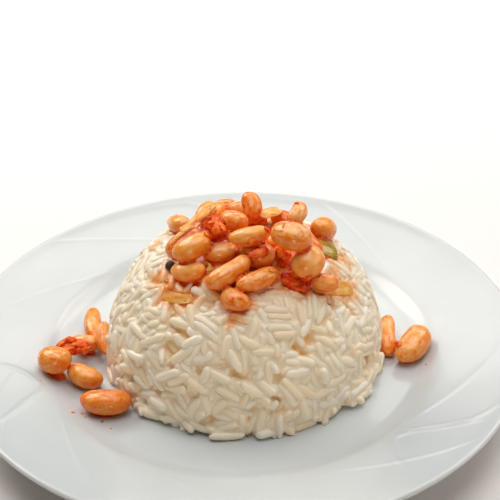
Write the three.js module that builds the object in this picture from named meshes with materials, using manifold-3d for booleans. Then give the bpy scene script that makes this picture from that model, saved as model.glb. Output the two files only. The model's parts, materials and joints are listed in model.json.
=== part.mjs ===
// Rice and beans on a plate: a moulded dome of white rice on a wide-rimmed porcelain plate, with white
// beans in tomato sauce heaped over its top and a few more that have rolled down beside it.
// Millimetres, +Z up. The origin is on the table, at the centre of the plate's foot ring.
import * as THREE from 'three';
import { mergeVertices } from 'three/addons/utils/BufferGeometryUtils.js';
import Module from 'manifold-3d';

const wasm = await Module();
wasm.setup();

// ---- driving dimensions -------------------------------------------------------------------------
const plateRadius = 95;
const rimHeight = 17.4;
const shoulderRadius = 66.5; // where the rim turns down into the well
const shoulderHeight = 10.5;
const wellFloorRadius = 58.5;
const wellFloorHeight = 6.5;
const plateThickness = 4.3;
const footOuterRadius = 50.5;
const footInnerRadius = 46.5;
const footRecess = 2.2; // how far the middle of the underside stands off the table
const plateSides = 48;

const domeCentreX = 1.6; // the rice was turned out a little off the middle
const domeCentreY = 1.5;
const domeRadius = 45.2; // of the packed core, without the grains that stand out of it
const domeHeight = 44;
const domeSideCurve = 2.5; // exponents of the dome's profile: 2 is a plain half ellipse
const domeTopCurve = 2.25;
const domeSides = 32;
const domeRings = 8;
const domeUnevenness = 0.008; // how far it swells and sinks round its side, over its radius

const grainCount = 225;
const baseGrainCount = 24;
const grainLength = 9.6;
const grainWidth = 3.0;
const grainThickness = 2.6;
const grainLengthSpread = [0.88, 1.1];
const grainStandOut = [0.2, 0.8]; // how far a grain's middle lies out of the core's face
const grainTurn = 0.25; // how far its ends may turn out of the face, in radians

const contactGap = 0.15; // between pieces that rest on each other
const riceGap = 0.35; // between a grain and any other piece
const beanThicknessRatio = 0.88; // a bean's thickness over its width
const beanBend = 0.05; // how far a bean is bowed, over its length

const settleTries = 26; // small shifts and turns that a falling piece tries
const settleCeiling = 82; // the height that it falls from
const settleShift = 0.3;
const settleLean = 2; // in degrees, as the next two are
const settleRoll = 8;
const settlePitch = 3;
const settleFineness = 0.04; // the smallest step down
const facePointCount = 110; // places on a piece's face where it is tested for touching

const beanFaces = [8, 6]; // sides and rings of the faceted solids
const bitFaces = [7, 5];
const grainFaces = [5, 3];

// colour and roughness of each material
const looks = {
  porcelain: [0xe6e9e5, 0.15],
  rice: [0xefe8d2, 0.45],
  bean: [0xd9914f, 0.3],
  tomato: [0xb5301a, 0.3],
  greenPepper: [0x8a7a2a, 0.3],
  onion: [0xe8a85a, 0.3],
  peppercorn: [0x1c1210, 0.4],
};

// ---- small helpers ------------------------------------------------------------------------------
const radians = THREE.MathUtils.degToRad;

// a repeatable random number between low and high
let randomState = 20417;
function random(low, high) {
  randomState = (randomState * 1664525 + 1013904223) % 4294967296;
  return low + (high - low) * (randomState / 4294967296);
}

// one closed skin from a geometry whose seams and poles repeat their vertices
function closedSkin(geometry) {
  geometry.deleteAttribute('normal');
  geometry.deleteAttribute('uv');
  const merged = mergeVertices(geometry, 1e-3);
  const corners = merged.index.array;
  const kept = [];
  for (let i = 0; i < corners.length; i += 3) {
    const [a, b, c] = [corners[i], corners[i + 1], corners[i + 2]];
    if (a !== b && b !== c && c !== a) {
      kept.push(a, b, c);
    }
  }
  merged.setIndex(kept);
  merged.computeVertexNormals();
  return merged;
}

function toManifold(geometry) {
  const vertProperties = new Float32Array(geometry.attributes.position.array);
  const triVerts = new Uint32Array(geometry.index.array);
  return new wasm.Manifold(new wasm.Mesh({ numProp: 3, vertProperties, triVerts }));
}

function fromManifold(solid) {
  const mesh = solid.getMesh();
  const geometry = new THREE.BufferGeometry();
  geometry.setAttribute('position', new THREE.BufferAttribute(mesh.vertProperties, 3));
  geometry.setIndex(new THREE.BufferAttribute(mesh.triVerts, 1));
  geometry.computeVertexNormals();
  return geometry;
}

function material(kind) {
  const [color, roughness] = looks[kind];
  return new THREE.MeshStandardMaterial({ color, roughness, metalness: 0 });
}

// ---- plate --------------------------------------------------------------------------------------
// radius and height along the upper face, from the middle to the rim
const plateUpperFace = [
  [0, wellFloorHeight],
  [wellFloorRadius, wellFloorHeight],
  [wellFloorRadius + 3, wellFloorHeight + 0.6],
  [shoulderRadius - 2.2, shoulderHeight - 1.8],
  [shoulderRadius, shoulderHeight],
  [shoulderRadius + 3, shoulderHeight + 0.7],
  [80, 13.3],
  [89, 15.6],
  [plateRadius - 0.8, rimHeight],
];
const plateLowerFace = [
  [plateRadius, rimHeight - 0.7],
  [plateRadius - 0.4, rimHeight - 1.7],
  [87, 15.1 - plateThickness + 0.9],
  [74, 12.1 - plateThickness + 0.5],
  [58, wellFloorHeight - plateThickness + 1.6],
  [footOuterRadius + 1, footRecess],
  [footOuterRadius, 0],
  [footInnerRadius, 0],
  [footInnerRadius - 1, footRecess],
  [0, footRecess],
];

function plateGeometry() {
  const outline = [...plateUpperFace, ...plateLowerFace].map(([r, z]) => new THREE.Vector2(r, z));
  const lathe = new THREE.LatheGeometry(outline.reverse(), plateSides);
  lathe.rotateX(Math.PI / 2);
  return closedSkin(lathe);
}

// height of the plate's upper face at a distance from its middle
function plateHeight(radius) {
  let i = 1;
  while (i < plateUpperFace.length - 1 && plateUpperFace[i][0] < radius) {
    i += 1;
  }
  const [r0, z0] = plateUpperFace[i - 1];
  const [r1, z1] = plateUpperFace[i];
  return z0 + ((z1 - z0) * (radius - r0)) / (r1 - r0);
}

// ---- rice core ----------------------------------------------------------------------------------
const domeBase = wellFloorHeight + 0.1;

// the packed rice is not quite round: it swells and sinks a little round its side
function domeSwell(angle, height) {
  const low = 1 - height / domeHeight;
  const waves = Math.sin(2 * angle + 0.7) + Math.sin(5 * angle + 2) * low + Math.sin(3 * angle - height / 6);
  return 1 + domeUnevenness * waves;
}

// below 1 inside the core, 1 on its face; grown by a margin all round
function domeLevel(point, margin) {
  const x = point.x - domeCentreX;
  const y = point.y - domeCentreY;
  const z = Math.max(point.z - domeBase, 0);
  const radius = domeRadius * domeSwell(Math.atan2(y, x), z) + margin;
  return (Math.hypot(x, y) / radius) ** domeSideCurve + (z / (domeHeight + margin)) ** domeTopCurve;
}

// the core's profile from the table (0) to its top (1): distance from the axis, and height
function domeProfile(share) {
  const turn = (share * Math.PI) / 2;
  const radius = domeRadius * Math.cos(turn) ** (2 / domeSideCurve);
  const height = domeHeight * Math.sin(turn) ** (2 / domeTopCurve);
  return [radius, height];
}

// the direction straight out of the core's face
function domeNormal(point) {
  const step = 0.05;
  const here = domeLevel(point, 0);
  const along = ['x', 'y', 'z'].map((axis) => {
    const moved = point.clone();
    moved[axis] += step;
    return domeLevel(moved, 0) - here;
  });
  return new THREE.Vector3(...along).normalize();
}

function coreGeometry() {
  const outline = [new THREE.Vector2(0, 0)];
  for (let i = 0; i < domeRings; i += 1) {
    outline.push(new THREE.Vector2(...domeProfile(i / domeRings)));
  }
  outline.push(new THREE.Vector2(0, domeHeight));
  const lathe = new THREE.LatheGeometry(outline, domeSides);
  lathe.rotateX(Math.PI / 2);
  const core = closedSkin(lathe);
  const spots = core.attributes.position;
  const spot = new THREE.Vector3();
  for (let i = 0; i < spots.count; i += 1) {
    spot.fromBufferAttribute(spots, i);
    const swell = domeSwell(Math.atan2(spot.y, spot.x), spot.z);
    spots.setXYZ(i, spot.x * swell + domeCentreX, spot.y * swell + domeCentreY, spot.z + domeBase);
  }
  return core;
}

// ---- rounded pieces: beans, bits and grains -----------------------------------------------------
// A piece is an ellipsoid, squarer where its squareness is over 2, bowed sideways by its bend. Its own
// X runs along its length, Y across and Z through it.
class Piece {
  constructor(name, kind, size, options = {}) {
    this.name = name;
    this.kind = kind;
    this.half = size.map((length) => length / 2);
    this.squareness = options.squareness ?? 2;
    this.bend = options.bend ?? 0;
    this.dents = options.dents ?? 0;
    this.place = new THREE.Matrix4();
    this.reach = Math.max(...this.half) + Math.abs(this.bend);
  }

  // a point of the unit ball carried to the piece's face, in the piece's own axes
  shape(point, share = 1) {
    const [x, y, z] = [point.x, point.y, point.z].map((v, i) => {
      return Math.sign(v) * Math.abs(v) ** (2 / this.squareness) * this.half[i] * share;
    });
    const bow = this.bend * ((x / this.half[0]) ** 2 - 0.4);
    return new THREE.Vector3(x, y + bow, z);
  }

  // true where a point of the world lies in the piece grown by a margin
  holds(point, margin) {
    const own = point.clone().applyMatrix4(this.inverse);
    const bow = this.bend * ((own.x / this.half[0]) ** 2 - 0.4);
    const parts = [own.x, own.y - bow, own.z].map((v, i) => {
      return Math.abs(v / (this.half[i] + margin)) ** this.squareness;
    });
    return parts[0] + parts[1] + parts[2] < 1;
  }

  put(place) {
    this.place.copy(place);
    this.inverse = place.clone().invert();
    this.centre = new THREE.Vector3().setFromMatrixPosition(place);
    this.facePoints = ballPoints.map((point) => this.shape(point).applyMatrix4(place));
  }

  geometry(sides, rings) {
    const ball = closedSkin(new THREE.SphereGeometry(1, sides, rings));
    ball.rotateZ(-Math.PI / 2);
    const spots = ball.attributes.position;
    const spot = new THREE.Vector3();
    for (let i = 0; i < spots.count; i += 1) {
      spot.fromBufferAttribute(spots, i);
      const shaped = this.shape(spot, 1 - random(0, this.dents));
      spots.setXYZ(i, shaped.x, shaped.y, shaped.z);
    }
    return ball;
  }
}

// points spread evenly over the unit ball, by the golden angle
const goldenAngle = Math.PI * (3 - Math.sqrt(5));
const ballPoints = Array.from({ length: facePointCount }, (_, i) => {
  const z = 1 - (2 * i + 1) / facePointCount;
  const r = Math.sqrt(1 - z * z);
  return new THREE.Vector3(r * Math.cos(i * goldenAngle), r * Math.sin(i * goldenAngle), z);
});

function piecesTouch(one, other, gap) {
  if (one.centre.distanceTo(other.centre) > one.reach + other.reach + gap) {
    return false;
  }
  return (
    one.facePoints.some((point) => other.holds(point, gap)) ||
    other.facePoints.some((point) => one.holds(point, gap))
  );
}

function touchesPlate(piece, gap) {
  return piece.facePoints.some((point) => point.z < plateHeight(Math.hypot(point.x, point.y)) + gap);
}

function touchesCore(piece, gap) {
  return piece.facePoints.some((point) => domeLevel(point, gap) < 1);
}

// Axes of a piece that lies along the face under it, or that is tilted by a stated angle. The heading
// is turned from +X towards +Y; roll turns the piece about its own length.
function axesOf(spot, heading, tilt, roll) {
  const onDome = domeLevel(new THREE.Vector3(spot.x, spot.y, domeBase), 0) < 1;
  const up = new THREE.Vector3(0, 0, 1);
  if (onDome) {
    up.copy(domeNormal(new THREE.Vector3(spot.x, spot.y, domeTopAt(spot.x, spot.y))));
  }
  const along = new THREE.Vector3(Math.cos(radians(heading)), Math.sin(radians(heading)), 0);
  if (tilt === null) {
    along.addScaledVector(up, -along.dot(up)).normalize();
  } else {
    along.multiplyScalar(Math.cos(radians(tilt)));
    along.z = Math.sin(radians(tilt));
  }
  const through = up.clone().addScaledVector(along, -along.dot(up)).normalize();
  const across = through.clone().cross(along);
  const axes = new THREE.Matrix4().makeBasis(along, across, through);
  return axes.multiply(new THREE.Matrix4().makeRotationX(radians(roll)));
}

// height of the core's face over a point of the plan
function domeTopAt(x, y) {
  const radius = domeRadius * domeSwell(Math.atan2(y - domeCentreY, x - domeCentreX), domeHeight / 2);
  const share = Math.min(Math.hypot(x - domeCentreX, y - domeCentreY) / radius, 1);
  return domeBase + domeHeight * (1 - share ** domeSideCurve) ** (1 / domeTopCurve);
}

const settled = [];

function isFree(piece) {
  if (touchesPlate(piece, contactGap) || touchesCore(piece, contactGap)) {
    return false;
  }
  return !settled.some((other) => piecesTouch(piece, other, contactGap));
}

// lowers a piece from above until the next step would touch something
function dropHeight(piece, spot, axes, ceiling) {
  let free = ceiling;
  let step = 1;
  while (step > settleFineness) {
    const place = new THREE.Matrix4().makeTranslation(spot.x, spot.y, free - step).multiply(axes);
    piece.put(place);
    if (isFree(piece)) {
      free -= step;
    } else {
      step /= 2;
    }
  }
  piece.put(new THREE.Matrix4().makeTranslation(spot.x, spot.y, free).multiply(axes));
  return free;
}

// Lets a piece down onto what is there already, trying small shifts and turns to sit deeper, as a bean
// does when it falls on a heap.
function settle(piece, x, y, heading, tilt = null) {
  let best = { height: dropHeight(piece, { x, y }, axesOf({ x, y }, heading, tilt, 0), settleCeiling) };
  best.place = piece.place.clone();
  for (let i = 0; i < settleTries; i += 1) {
    const spot = { x: x + random(-settleShift, settleShift), y: y + random(-settleShift, settleShift) };
    const lean = tilt === null ? null : tilt + random(-settleLean, settleLean);
    const axes = axesOf(spot, heading, lean, random(-settleRoll, settleRoll));
    axes.multiply(new THREE.Matrix4().makeRotationY(radians(random(-settlePitch, settlePitch))));
    const height = dropHeight(piece, spot, axes, best.height + 3);
    if (height < best.height) {
      best = { height, place: piece.place.clone() };
    }
  }
  piece.put(best.place);
  settled.push(piece);
}

// ---- beans --------------------------------------------------------------------------------------
// Each bean: x, y, heading in degrees, length, width, and where it isn't lying along the rice, its
// tilt. The lowest are let down first.
const beansUnderHeap = [
  [2, -3, -15, 13, 7.2],
  [13.5, -3, 50, 12.5, 7.2],
  [3.6, 8.4, 15, 12.5, 7],
  [-6.8, 3, 75, 12, 7.2],
  [23, -2.5, -55, 12.5, 7.4],
  [16, 9.5, -35, 12.5, 7.4],
];
const beansInFront = [
  [-5.7, -10, 4, 11, 7.4, -5],
  [5.6, -12.2, -32, 12, 9.2, -2],
  [-16, -15.1, -15, 12, 6.6],
  [-1, -27.8, -32, 9.8, 6.8, -8],
  [5.2, -22.9, 27, 14.6, 6.5, 7],
  [-3.4, -21, 27, 16.4, 7.5, 19],
  [27, -18.3, 6, 10, 6],
  [-17.5, -1.8, 38, 14.4, 8.2, 8],
  [21.3, -18.4, 50, 11.3, 10, 16],
  [27.8, 10.5, 70, 13.2, 9, -25],
  [-19.8, 15, -66, 12.8, 7, 17],
];
// on the far side, three of them on the plate
const beansBehind = [
  [-8.6, 15.4, 60, 13.4, 7.8],
  [4, 31.5, 85, 13, 7.6],
  [2.2, 17.2, -10, 12.2, 7.4],
  [13, 53.5, 22, 13.4, 7.8],
  [-7, 54.5, -38, 13, 7.8],
  [-4, 34.5, 72, 12, 7.2],
  [28.5, 49, -20, 12.6, 7.4],
  [-11, 8.7, 66, 10.2, 6, -4],
  [-1.2, -2, -37, 10.2, 7.2, -1],
  [-14.7, -11.4, 11, 13.2, 8, 24],
];
const beansOnTop = [
  [16.6, -15.8, -27, 13.6, 9.8, -3],
  [3.2, -11.9, 4, 12.8, 6.2, 14],
  [4.4, 5.7, 100, 10.2, 7, 36],
  [19.2, 6.8, 70, 10, 6, 4],
];
const beansOnPlate = [
  [-51.2, 11.5, -79, 20, 6.8, -7],
  [-51.9, -17.2, -31, 13.6, 7.9, -4],
  [-53.3, 0.7, -14, 11, 6.2, -2],
  [-46.7, -1.1, -82, 12.8, 5.4, -27],
  [-62.1, -13.7, -31, 12, 9.8, 2],
  [-43.7, -31.6, -5, 17.4, 9.1, 0],
  [51.4, 2.1, -96, 18.6, 7.3, -14],
  [59.2, -5.3, 56, 17.3, 10.3, 9],
];

function addBeans(rows) {
  for (const [x, y, heading, length, width, tilt = null] of rows) {
    const number = String(settled.filter((piece) => piece.kind === 'bean').length + 1).padStart(2, '0');
    const size = [length, width, width * beanThicknessRatio];
    const bean = new Piece(`bean_${number}`, 'bean', size, { bend: length * beanBend });
    settle(bean, x, y, heading, tilt);
  }
}

// ---- tomato, pepper and onion -------------------------------------------------------------------
// Each bit: name, kind, size, x, y, heading, tilt, and how square, bowed and dented it is.
const bitsOnRice = [
  ['peppercorn', 'peppercorn', [3.4, 3.4, 3.4], -22, -8.7, 0, null, {}],
  ['onion_left', 'onion', [11.4, 3.8, 1.5], -19.8, -20.8, -24, null, { squareness: 3, bend: 0.5 }],
  ['onion_right', 'onion', [17, 5.6, 1.8], 30.6, -14.1, 14, null, { squareness: 3.4, bend: 0.4 }],
  ['onion_middle', 'onion', [6.6, 5, 1.6], 13.2, -14.4, 60, null, { squareness: 2.6, bend: 0.4 }],
  ['tomato_front', 'tomato', [10, 7.4, 4.6], 17.8, -19.6, -8, null, { squareness: 2.6, dents: 0.14 }],
  ['pepper_green', 'greenPepper', [8.4, 8, 2.6], 28.4, 0.9, -74, null, { squareness: 4.5 }],
  ['tomato_middle', 'tomato', [6.4, 4.8, 4], 13.8, -10.6, -20, null, { squareness: 2.5, dents: 0.14 }],
];
const bitsInHeap = [
  ['tomato_back', 'tomato', [10.4, 7, 4], -7.8, -5.2, -64, 0, { squareness: 2.5, dents: 0.14 }],
  ['onion_strip', 'onion', [17.5, 4.2, 1.6], -12.2, -2.2, 52, 12, { squareness: 2.6, bend: 1.8 }],
  ['onion_back', 'onion', [9, 6.4, 2], 10.1, 7.8, 40, null, { squareness: 3, bend: 0.6 }],
];
const bitsOnTop = [
  ['tomato_shred', 'tomato', [6.6, 3.4, 1.8], 6, -17.2, 30, null, { squareness: 2.4, dents: 0.16 }],
  ['tomato_on_plate', 'tomato', [10.6, 7, 3.8], -56.8, -5, 6, 0, { squareness: 2.4, dents: 0.14 }],
];

function addBits(rows) {
  for (const [name, kind, size, x, y, heading, tilt, options] of rows) {
    settle(new Piece(name, kind, size, options), x, y, heading, tilt);
  }
}

addBits(bitsOnRice);
addBeans(beansUnderHeap);
addBeans(beansInFront);
addBeans(beansBehind);
addBits(bitsInHeap);
addBeans(beansOnTop);
addBeans(beansOnPlate);
addBits(bitsOnTop);

// ---- rice grains fused to the core --------------------------------------------------------------
// shares of the core's face area below each step of its profile, so that grains are spread evenly
function areaSteps(count) {
  const steps = [0];
  for (let i = 0; i < count; i += 1) {
    const [r0, z0] = domeProfile(i / count);
    const [r1, z1] = domeProfile((i + 1) / count);
    steps.push(steps[i] + (r0 + r1) * Math.hypot(r1 - r0, z1 - z0));
  }
  return steps.map((step) => step / steps[count]);
}

function grainAt(spot, outward, heading, lift, length) {
  const size = [length, grainWidth * random(0.9, 1.1), grainThickness];
  const grain = new Piece('grain', 'rice', size, { squareness: 2.5, bend: random(0.2, 0.7) });
  const level = new THREE.Vector3(-outward.y, outward.x, 0).normalize();
  const upSlope = outward.clone().cross(level);
  const along = level.multiplyScalar(Math.cos(heading)).addScaledVector(upSlope, Math.sin(heading));
  along.multiplyScalar(Math.cos(lift)).addScaledVector(outward, Math.sin(lift));
  const through = outward.clone().addScaledVector(along, -along.dot(outward)).normalize();
  const place = new THREE.Matrix4().makeBasis(along, through.clone().cross(along), through);
  place.setPosition(spot);
  grain.put(place);
  return grain;
}

// a grain that would touch a topping or the plate is left out
function grainIsClear(grain) {
  return !touchesPlate(grain, riceGap) && !settled.some((piece) => piecesTouch(grain, piece, riceGap));
}

function sideGrains() {
  const stepCount = 60;
  const steps = areaSteps(stepCount);
  const grains = [];
  for (let i = 0; i < grainCount; i += 1) {
    const area = (i + 0.5) / grainCount;
    const step = steps.findIndex((share) => share > area) - 1;
    const part = (area - steps[step]) / (steps[step + 1] - steps[step]);
    const [radius, height] = domeProfile((step + part) / stepCount);
    const angle = i * goldenAngle;
    const reach = radius * domeSwell(angle, height);
    const x = domeCentreX + reach * Math.cos(angle);
    const y = domeCentreY + reach * Math.sin(angle);
    const spot = new THREE.Vector3(x, y, domeBase + height);
    const outward = domeNormal(spot);
    spot.addScaledVector(outward, random(...grainStandOut));
    const length = grainLength * random(...grainLengthSpread);
    grains.push(grainAt(spot, outward, random(0, Math.PI), random(-grainTurn, grainTurn), length));
  }
  return grains;
}

// the ragged foot of the dome: grains that lie out over the plate
function baseGrains() {
  const grains = [];
  for (let i = 0; i < baseGrainCount; i += 1) {
    const angle = ((i + random(-0.3, 0.3)) / baseGrainCount) * 2 * Math.PI;
    const outward = new THREE.Vector3(Math.cos(angle), Math.sin(angle), 0);
    const reach = domeRadius * domeSwell(angle, 0) + random(-0.4, 1);
    const height = wellFloorHeight + riceGap + grainWidth / 2 + random(0.1, 0.6);
    const spot = new THREE.Vector3(domeCentreX, domeCentreY, height).addScaledVector(outward, reach);
    grains.push(grainAt(spot, outward, random(-0.15, 0.15), random(0, 0.5), grainLength * random(0.8, 1)));
  }
  return grains;
}

function riceGeometry() {
  let heap = toManifold(coreGeometry());
  for (const grain of [...sideGrains(), ...baseGrains()].filter(grainIsClear)) {
    heap = heap.add(toManifold(grain.geometry(...grainFaces).applyMatrix4(grain.place)));
  }
  const bodies = heap.decompose().sort((one, other) => other.volume() - one.volume());
  return fromManifold(bodies[0]);
}

// ---- the plateful -------------------------------------------------------------------------------
const plateful = new THREE.Group();

function addMesh(name, geometry, look, place = null) {
  const mesh = new THREE.Mesh(geometry, look);
  mesh.name = name;
  if (place) {
    place.decompose(mesh.position, mesh.quaternion, mesh.scale);
  }
  plateful.add(mesh);
}

addMesh('plate', plateGeometry(), material('porcelain'));
addMesh('rice_mound', riceGeometry(), material('rice'));
for (const piece of settled) {
  const geometry = piece.geometry(...(piece.kind === 'bean' ? beanFaces : bitFaces));
  addMesh(piece.name, geometry, material(piece.kind), piece.place);
}

export default plateful;
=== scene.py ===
import json
import math
import bpy
import numpy as np
from mathutils import Matrix, Vector, noise
from mathutils.bvhtree import BVHTree
from mathutils.kdtree import KDTree

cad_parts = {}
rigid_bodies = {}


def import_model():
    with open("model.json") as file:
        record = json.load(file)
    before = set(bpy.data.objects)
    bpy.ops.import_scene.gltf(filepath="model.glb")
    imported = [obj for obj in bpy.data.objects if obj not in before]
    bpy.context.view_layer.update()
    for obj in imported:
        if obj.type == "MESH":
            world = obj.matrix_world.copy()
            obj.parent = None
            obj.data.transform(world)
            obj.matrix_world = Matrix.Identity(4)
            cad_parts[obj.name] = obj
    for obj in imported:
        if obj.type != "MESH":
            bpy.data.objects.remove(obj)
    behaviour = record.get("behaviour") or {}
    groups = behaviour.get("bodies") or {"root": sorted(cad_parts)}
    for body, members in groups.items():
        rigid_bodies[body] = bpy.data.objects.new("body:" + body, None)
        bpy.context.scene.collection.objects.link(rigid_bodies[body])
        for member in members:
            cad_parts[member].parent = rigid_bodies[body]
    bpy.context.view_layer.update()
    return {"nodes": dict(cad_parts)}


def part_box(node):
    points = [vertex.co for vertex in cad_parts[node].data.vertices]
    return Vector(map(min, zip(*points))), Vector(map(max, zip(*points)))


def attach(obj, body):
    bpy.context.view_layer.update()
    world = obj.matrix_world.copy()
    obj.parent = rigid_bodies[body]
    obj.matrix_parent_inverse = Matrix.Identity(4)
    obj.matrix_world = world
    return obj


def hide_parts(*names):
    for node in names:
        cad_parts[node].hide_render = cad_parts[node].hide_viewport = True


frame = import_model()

mm = 0.001  # everything below is worked out in millimetres and made in metres
dice = np.random.default_rng(1187)
scene = bpy.context.scene


def deselectAll():
    if bpy.context.mode != "OBJECT":
        bpy.ops.object.mode_set(mode="OBJECT")
    bpy.ops.object.select_all(action="DESELECT")


def pick(piece):
    deselectAll()
    piece.select_set(True)
    bpy.context.view_layer.objects.active = piece


def applyModifiers(piece):
    pick(piece)
    for modifier in list(piece.modifiers):
        bpy.ops.object.modifier_apply(modifier=modifier.name)


def vertexArray(piece):
    places = np.zeros(len(piece.data.vertices) * 3)
    piece.data.vertices.foreach_get("co", places)
    return places.reshape(-1, 3)


def setVertices(piece, places):
    piece.data.vertices.foreach_set("co", np.asarray(places, dtype=np.float32).ravel())
    piece.data.update()


def meshPiece(name, vertices, faces):
    mesh = bpy.data.meshes.new(name)
    mesh.from_pydata([tuple(v) for v in vertices], [], [tuple(int(i) for i in f) for f in faces])
    piece = bpy.data.objects.new(name, mesh)
    scene.collection.objects.link(piece)
    return piece


def setAttribute(piece, name, values):
    # one number, or one place, for each point
    values = np.asarray(values, dtype=np.float32)
    kind, key = ("FLOAT", "value") if values.ndim == 1 else ("FLOAT_VECTOR", "vector")
    attribute = piece.data.attributes.new(name, kind, "POINT")
    attribute.data.foreach_set(key, values.ravel())


def closeMesh(piece):
    pick(piece)
    bpy.ops.object.mode_set(mode="EDIT")
    bpy.ops.mesh.select_all(action="SELECT")
    bpy.ops.mesh.remove_doubles(threshold=1e-6)
    bpy.ops.mesh.normals_make_consistent(inside=False)
    bpy.ops.object.mode_set(mode="OBJECT")


def joinPieces(pieces, name):
    deselectAll()
    for piece in pieces:
        piece.select_set(True)
    bpy.context.view_layer.objects.active = pieces[0]
    bpy.ops.object.join()
    pieces[0].name = name
    return pieces[0]


def makeOneSkin(piece, voxel, softening):
    # a single skin round all that the piece holds, eased where its parts meet
    skin = piece.modifiers.new("oneSkin", "REMESH")
    skin.mode = "VOXEL"
    skin.voxel_size = voxel * mm
    soft = piece.modifiers.new("soft", "SMOOTH")
    soft.factor = 0.5
    soft.iterations = softening
    applyModifiers(piece)


def roundOff(piece, thickness=0.0):
    # one level of subdivision, after giving a sheet its thickness
    if thickness:
        thick = piece.modifiers.new("thick", "SOLIDIFY")
        thick.thickness = thickness * mm
        thick.offset = 0
    soft = piece.modifiers.new("soft", "SUBSURF")
    soft.levels = soft.render_levels = 1
    applyModifiers(piece)


def finishPiece(piece, look, nodes=()):
    pick(piece)
    bpy.ops.object.shade_smooth()
    piece.data.materials.clear()
    piece.data.materials.append(look)
    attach(piece, "root")
    if nodes:
        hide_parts(*nodes)


def noiseAt(points, size, seed=0.0):
    # smooth noise about zero, with lumps of that size in mm
    shift = Vector((seed * 7.3, seed * 3.1, seed * 5.7))
    return np.array([noise.noise(Vector(p) / size + shift) for p in points])


def linear(hexColour):
    parts = [int(hexColour[i:i + 2], 16) / 255 for i in (1, 3, 5)]
    bright = [c / 12.92 if c <= 0.04045 else ((c + 0.055) / 1.055) ** 2.4 for c in parts]
    return (*bright, 1.0)


def fillRamp(ramp, stops):
    # stops: place and hex colour
    while len(ramp.elements) < len(stops):
        ramp.elements.new(0.5)
    for element, (place, colour) in zip(ramp.elements, stops):
        element.position = place
        element.color = linear(colour)


def wire(look, node, links):
    # input of the node -> (node it comes from, its output)
    for name, (source, output) in links.items():
        look.node_tree.links.new(source.outputs[output], node.inputs[name])


def addNode(look, kind, settings=None, links=None):
    # settings: the node's own, the values of its inputs by name or number, or a ramp's stops
    node = look.node_tree.nodes.new(kind)
    for name, value in (settings or {}).items():
        if name == "stops":
            fillRamp(node.color_ramp, value)
        elif isinstance(name, str) and hasattr(node, name):
            setattr(node, name, value)
        else:
            node.inputs[name].default_value = value
    wire(look, node, links or {})
    return node


def startMaterial(name, settings):
    look = bpy.data.materials.new(name)
    look.use_nodes = True
    shader = look.node_tree.nodes["Principled BSDF"]
    for key, value in settings.items():
        shader.inputs[key].default_value = value
    return look, shader


photoWidth = 500  # pixels, the side of the square photograph
camera = {
    "lens": 78.76,
    "sensor": 36.0,
    "place": (0.0, -305.9, 236.2),
    "heading": 0.69,  # degrees, towards +X
    "down": 31.7,
    "roll": -0.68,
}


def cameraAxes():
    heading, down, roll = (math.radians(camera[key]) for key in ("heading", "down", "roll"))
    ahead = Vector((
        math.sin(heading) * math.cos(down), math.cos(heading) * math.cos(down), -math.sin(down)))
    level = Vector((math.cos(heading), -math.sin(heading), 0))
    upright = level.cross(ahead)
    right = level * math.cos(roll) + upright * math.sin(roll)
    up = upright * math.cos(roll) - level * math.sin(roll)
    return right, up, ahead


def makeCamera():
    right, up, ahead = cameraAxes()
    data = bpy.data.cameras.new("camera")
    data.lens = camera["lens"]
    data.sensor_width = camera["sensor"]
    data.clip_start = 0.02
    data.clip_end = 20
    viewer = bpy.data.objects.new("camera", data)
    viewer.matrix_world = Matrix.Translation(Vector(camera["place"]) * mm) @ Matrix(
        (right, up, -ahead)).transposed().to_4x4()
    scene.collection.objects.link(viewer)
    scene.camera = viewer


lights = [
    # name, place in metres, the point it faces, size, watts, colour
    ("softTop", (0.0, 0.05, 0.9), (0, 0.04, 0), 0.8, 4.6, "#ffffff"),
    ("windowRight", (0.9, -0.1, 0.6), (0, 0, 0.02), 0.6, 2.1, "#fff8ee"),
    ("windowLeft", (-0.5, 0.5, 0.6), (0, 0, 0.02), 0.5, 4.0, "#fff6ea"),
    ("windowFar", (0.5, 0.5, 0.6), (0, 0, 0.02), 0.5, 2.3, "#fff6ea"),
    ("overTable", (0, 0.5, 0.4), (0, 0.62, 0), 0.5, 1.25, "#fffdfb"),
    ("windowBehind", (0, 0.75, 0.6), (0, 0.76, 0), 0.8, 0.75, "#fffdfb"),
    ("frontFill", (-0.1, -1.0, 0.16), (0, 0, 0.04), 0.4, 2.1, "#ffe4c2"),
]


def makeStage():
    for name, place, faced, size, watts, colour in lights:
        bpy.ops.object.light_add(type="AREA", location=place)
        lamp = bpy.context.object
        lamp.name = name
        lamp.data.shape = "DISK"
        lamp.data.size = size
        lamp.data.energy = watts
        lamp.data.color = linear(colour)[:3]
        lamp.rotation_euler = (Vector(faced) - Vector(place)).to_track_quat("-Z", "Y").to_euler()
    world = bpy.data.worlds.new("room")
    world.use_nodes = True
    background = world.node_tree.nodes["Background"]
    background.inputs["Color"].default_value = linear("#f4f6f8")
    background.inputs["Strength"].default_value = 0.02
    scene.world = world
    deselectAll()
    bpy.ops.mesh.primitive_plane_add(size=6, location=(0, 0, -0.0001))
    floor = bpy.context.object
    floor.name = "floor"
    look, _ = startMaterial("paintedTable", {"Base Color": linear("#ebe7e6"), "Roughness": 0.5})
    floor.data.materials.append(look)
    scene.view_settings.view_transform = "Standard"
    scene.view_settings.look = "None"


makeCamera()
makeStage()
print("camera, light and floor done")


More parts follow.
